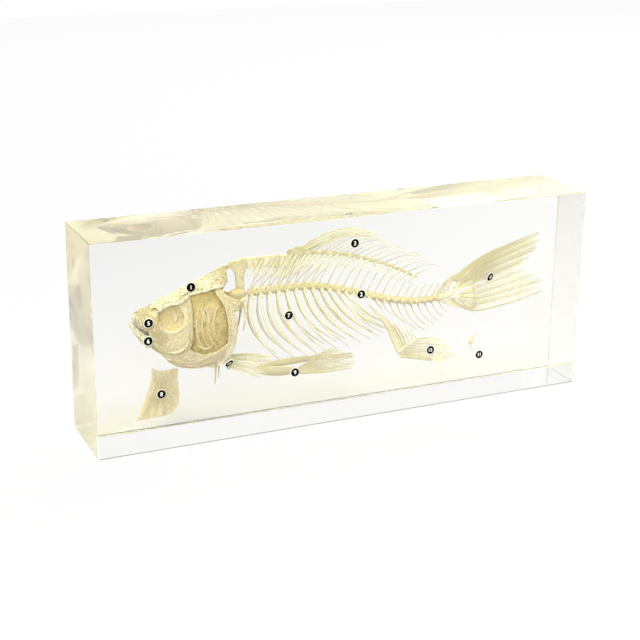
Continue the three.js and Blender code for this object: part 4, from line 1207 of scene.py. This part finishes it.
def resin_material(name, tint, rough, gleam, clear=1.0):
    """Clear resin with a faint yellow that grows with the way light goes through it. Where it isn't
    quite clear, a white haze takes the rest. Light from the lamps passes straight to what is cast
    in it."""
    paint = Paint(bpy.data.materials.new(name))
    sheen = (gleam, gleam, gleam, 1)
    paint.finish(Base_Color=tint, Roughness=rough, IOR=1.49, Transmission_Weight=clear, Specular_Tint=sheen)
    lamp = paint.node("ShaderNodeLightPath", {}, out="Is Shadow Ray")
    shadow_tint, depth_tint, density = (0.96, 0.96, 0.98, 1), (0.965, 0.952, 0.78, 1), 1.9
    paint.surface(lamp, paint.node("ShaderNodeBsdfTransparent", {}, shadow_tint))
    depth = paint.node("ShaderNodeVolumeAbsorption", {}, depth_tint, density)
    paint.join(depth, paint.tree.nodes["Material Output"].inputs["Volume"])
    return paint.owner


def resin_block():
    """A box whose twelve edges are rounded by 0.35 mm: the unit sphere's directions are pushed out
    to the corners of the inner box, so every section is a rounded rectangle. Its front, back and
    underside are polished and its top and ends are finely sanded; its lower edges are tinted dark
    grey and rough, a painted shade line along them."""
    radius = 0.35
    half = BLOCK_SIZE / 2 - radius
    quarter = np.linspace(0, np.pi / 2, 6)
    turn = np.concatenate([quarter + k * np.pi / 2 for k in range(4)])
    tilt = np.concatenate([quarter - np.pi / 2, quarter])[:, None]
    corner = np.repeat([[1, 1], [-1, 1], [-1, -1], [1, -1]], len(quarter), axis=0)
    level = np.repeat([-1, 1], len(quarter))[:, None]
    x = corner[:, 0] * half[0] + radius * np.cos(tilt) * np.cos(turn)
    y = corner[:, 1] * half[1] + radius * np.cos(tilt) * np.sin(turn)
    z = level * half[2] + radius * np.sin(tilt) + BLOCK_SIZE[2] / 2 + 0 * turn
    polished = resin_material("resin", (0.95, 0.948, 0.94, 1), 0.0, 0.12)
    block = Bones().loft(np.stack([x, y, z], -1)).piece("clear_block", polished, "resin_block", slot="resin")
    mesh = block.data
    mesh.materials.append(resin_material("resin_top", (1, 1, 1, 1), 0.1, 1.0, 0.96))
    mesh.materials.append(resin_material("resin_end", (1, 1, 1, 1), 0.17, 1.0, 0.82))
    # Painted shade: the lower edges are tinted dark grey so that they show as grey lines.
    mesh.materials.append(resin_material("resin_painted_shade_rim", (0.14, 0.14, 0.13, 1), 0.4, 0.2))
    faces = len(mesh.polygons)
    normals, middles = np.zeros(faces * 3, np.float32), np.zeros(faces * 3, np.float32)
    mesh.polygons.foreach_get("normal", normals)
    mesh.polygons.foreach_get("center", middles)
    normals, height = normals.reshape(-1, 3), middles.reshape(-1, 3)[:, 2]
    facing, straight_down = 0.9, -0.99
    top, end = normals[:, 2] > facing, np.abs(normals[:, 0]) > facing
    # The rounded faces of the lower edges take the dark painted shade tint.
    rim = (height < radius * MM) & (normals[:, 2] > straight_down)
    mesh.polygons.foreach_set("material_index", np.where(rim, 3, top + 2 * end).astype(np.int32))
    mesh.polygons.foreach_set("use_smooth", np.zeros(faces, bool))


# ------------------------------------------------------------------ floor, light and camera


def floor():
    """A plain pale floor, painted a little lighter close behind the block than further back, a
    painted light gradient. The camera itself sees it as nearly white."""
    paint = Paint(bpy.data.materials.new("pale_floor"))
    behind = paint.node("ShaderNodeSeparateXYZ", {}, paint.position(), out="Y")
    # Painted light: the floor's colour lightens towards the block and darkens further back.
    pale = paint.node("ShaderNodeMapRange", {}, behind, 0.02, 0.2, 0.508, 0.442)
    white = (1, 1, 1, 1)
    paint.finish(
        Base_Color=pale, Roughness=0.9, Specular_IOR_Level=0.0, Emission_Color=white, Emission_Strength=0.09
    )
    seen = paint.node("ShaderNodeLightPath", {}, out="Is Camera Ray")
    whiteness, low, high, gap = 0.9, -0.8, 1.0, 0.0001
    paint.surface(seen * whiteness, paint.node("ShaderNodeEmission", {}, white, 1.0))
    mesh = bpy.data.meshes.new("floor")
    mesh.from_pydata([(low, low, 0), (high, low, 0), (high, high, 0), (low, high, 0)], [], [(0, 1, 2, 3)])
    mesh.materials.append(paint.owner)
    plane = bpy.data.objects.new("floor", mesh)
    plane.location.z = -gap
    bpy.context.scene.collection.objects.link(plane)


def light():
    """White surroundings, brighter behind the block and to its right than before it, which the
    camera itself sees as plain white, with a lamp on the right, a broad one in front on the left
    and one high above, a little ahead and to the left."""
    world = bpy.data.worlds.new("studio")
    bpy.context.scene.world = world
    paint = Paint(world)
    way = paint.node("ShaderNodeTexCoord", {}, out="Generated")
    across = paint.node("ShaderNodeSeparateXYZ", {}, way, out="X")
    behind = paint.node("ShaderNodeSeparateXYZ", {}, way, out="Y")
    level = paint.node("ShaderNodeMapRange", {}, behind + 0.8 * across, -1.1, 1.15, 0.64, 1.0)
    camera_ray = paint.node("ShaderNodeLightPath", {}, out="Is Camera Ray")
    seen = paint.mix(camera_ray, level, (1, 1, 1, 1))
    paint.join(seen, paint.tree.nodes["Background"].inputs["Color"])
    block_middle = Vector((0, 0, 0.03))
    for name, spot, size, power in (
        ("key", (0.7, 0.45, 0.6), 0.4, 7.0),
        ("fill", (-1.5, -2.4, 1.5), 1.6, 54.0),
        ("top", (-0.35, -0.6, 2.4), 0.8, 31.0),
    ):
        lamp = bpy.data.lights.new(name, "AREA")
        lamp.size, lamp.energy = size, power
        body = bpy.data.objects.new(name, lamp)
        body.location = spot
        body.rotation_euler = (block_middle - Vector(spot)).to_track_quat("-Z", "Y").to_euler()
        bpy.context.scene.collection.objects.link(body)


def camera():
    """Looks from above the block's left front, along ahead, with right and down across the frame."""
    right = np.array([0.91303, -0.40777, 0.01030])
    down = np.array([-0.12382, -0.30113, -0.94551])
    ahead = np.array([0.38865, 0.86200, -0.32543])
    lens = bpy.data.cameras.new("camera")
    lens.lens, lens.sensor_width = 80.42, 36.0
    lens.clip_start, lens.clip_end = 0.01, 20
    body = bpy.data.objects.new("camera", lens)
    turned = np.eye(4)
    turned[:3, :3] = np.stack([right, -down, -ahead], 1)
    turned[:3, 3] = (-0.17911, -0.38518, 0.17440)
    body.matrix_world = Matrix(turned.tolist())
    bpy.context.scene.collection.objects.link(body)
    bpy.context.scene.camera = body


# ------------------------------------------------------------------ the model

skull()
eye_sockets()
upper_jaw()
lower_jaw()
gill_chamber()
pharynx_bones()
gill_cover()
throat()
spine_trunk()
spine_tail()
nape()
predorsal()
dorsal_fin()
anal_fin()
tail_upper()
tail_lower()
paired_fins()
loose_pieces()
discs()
numerals()
for side, name in ((LEFT, "left"), (RIGHT, "right")):
    cheek(side, name)
    shoulder(side, name)
    ribs(side, name)
resin_block()
floor()
light()
camera()
bpy.context.scene.view_settings.view_transform = "Standard"
cycles = bpy.context.scene.cycles
cycles.max_bounces = cycles.transmission_bounces = 24
cycles.glossy_bounces = 16
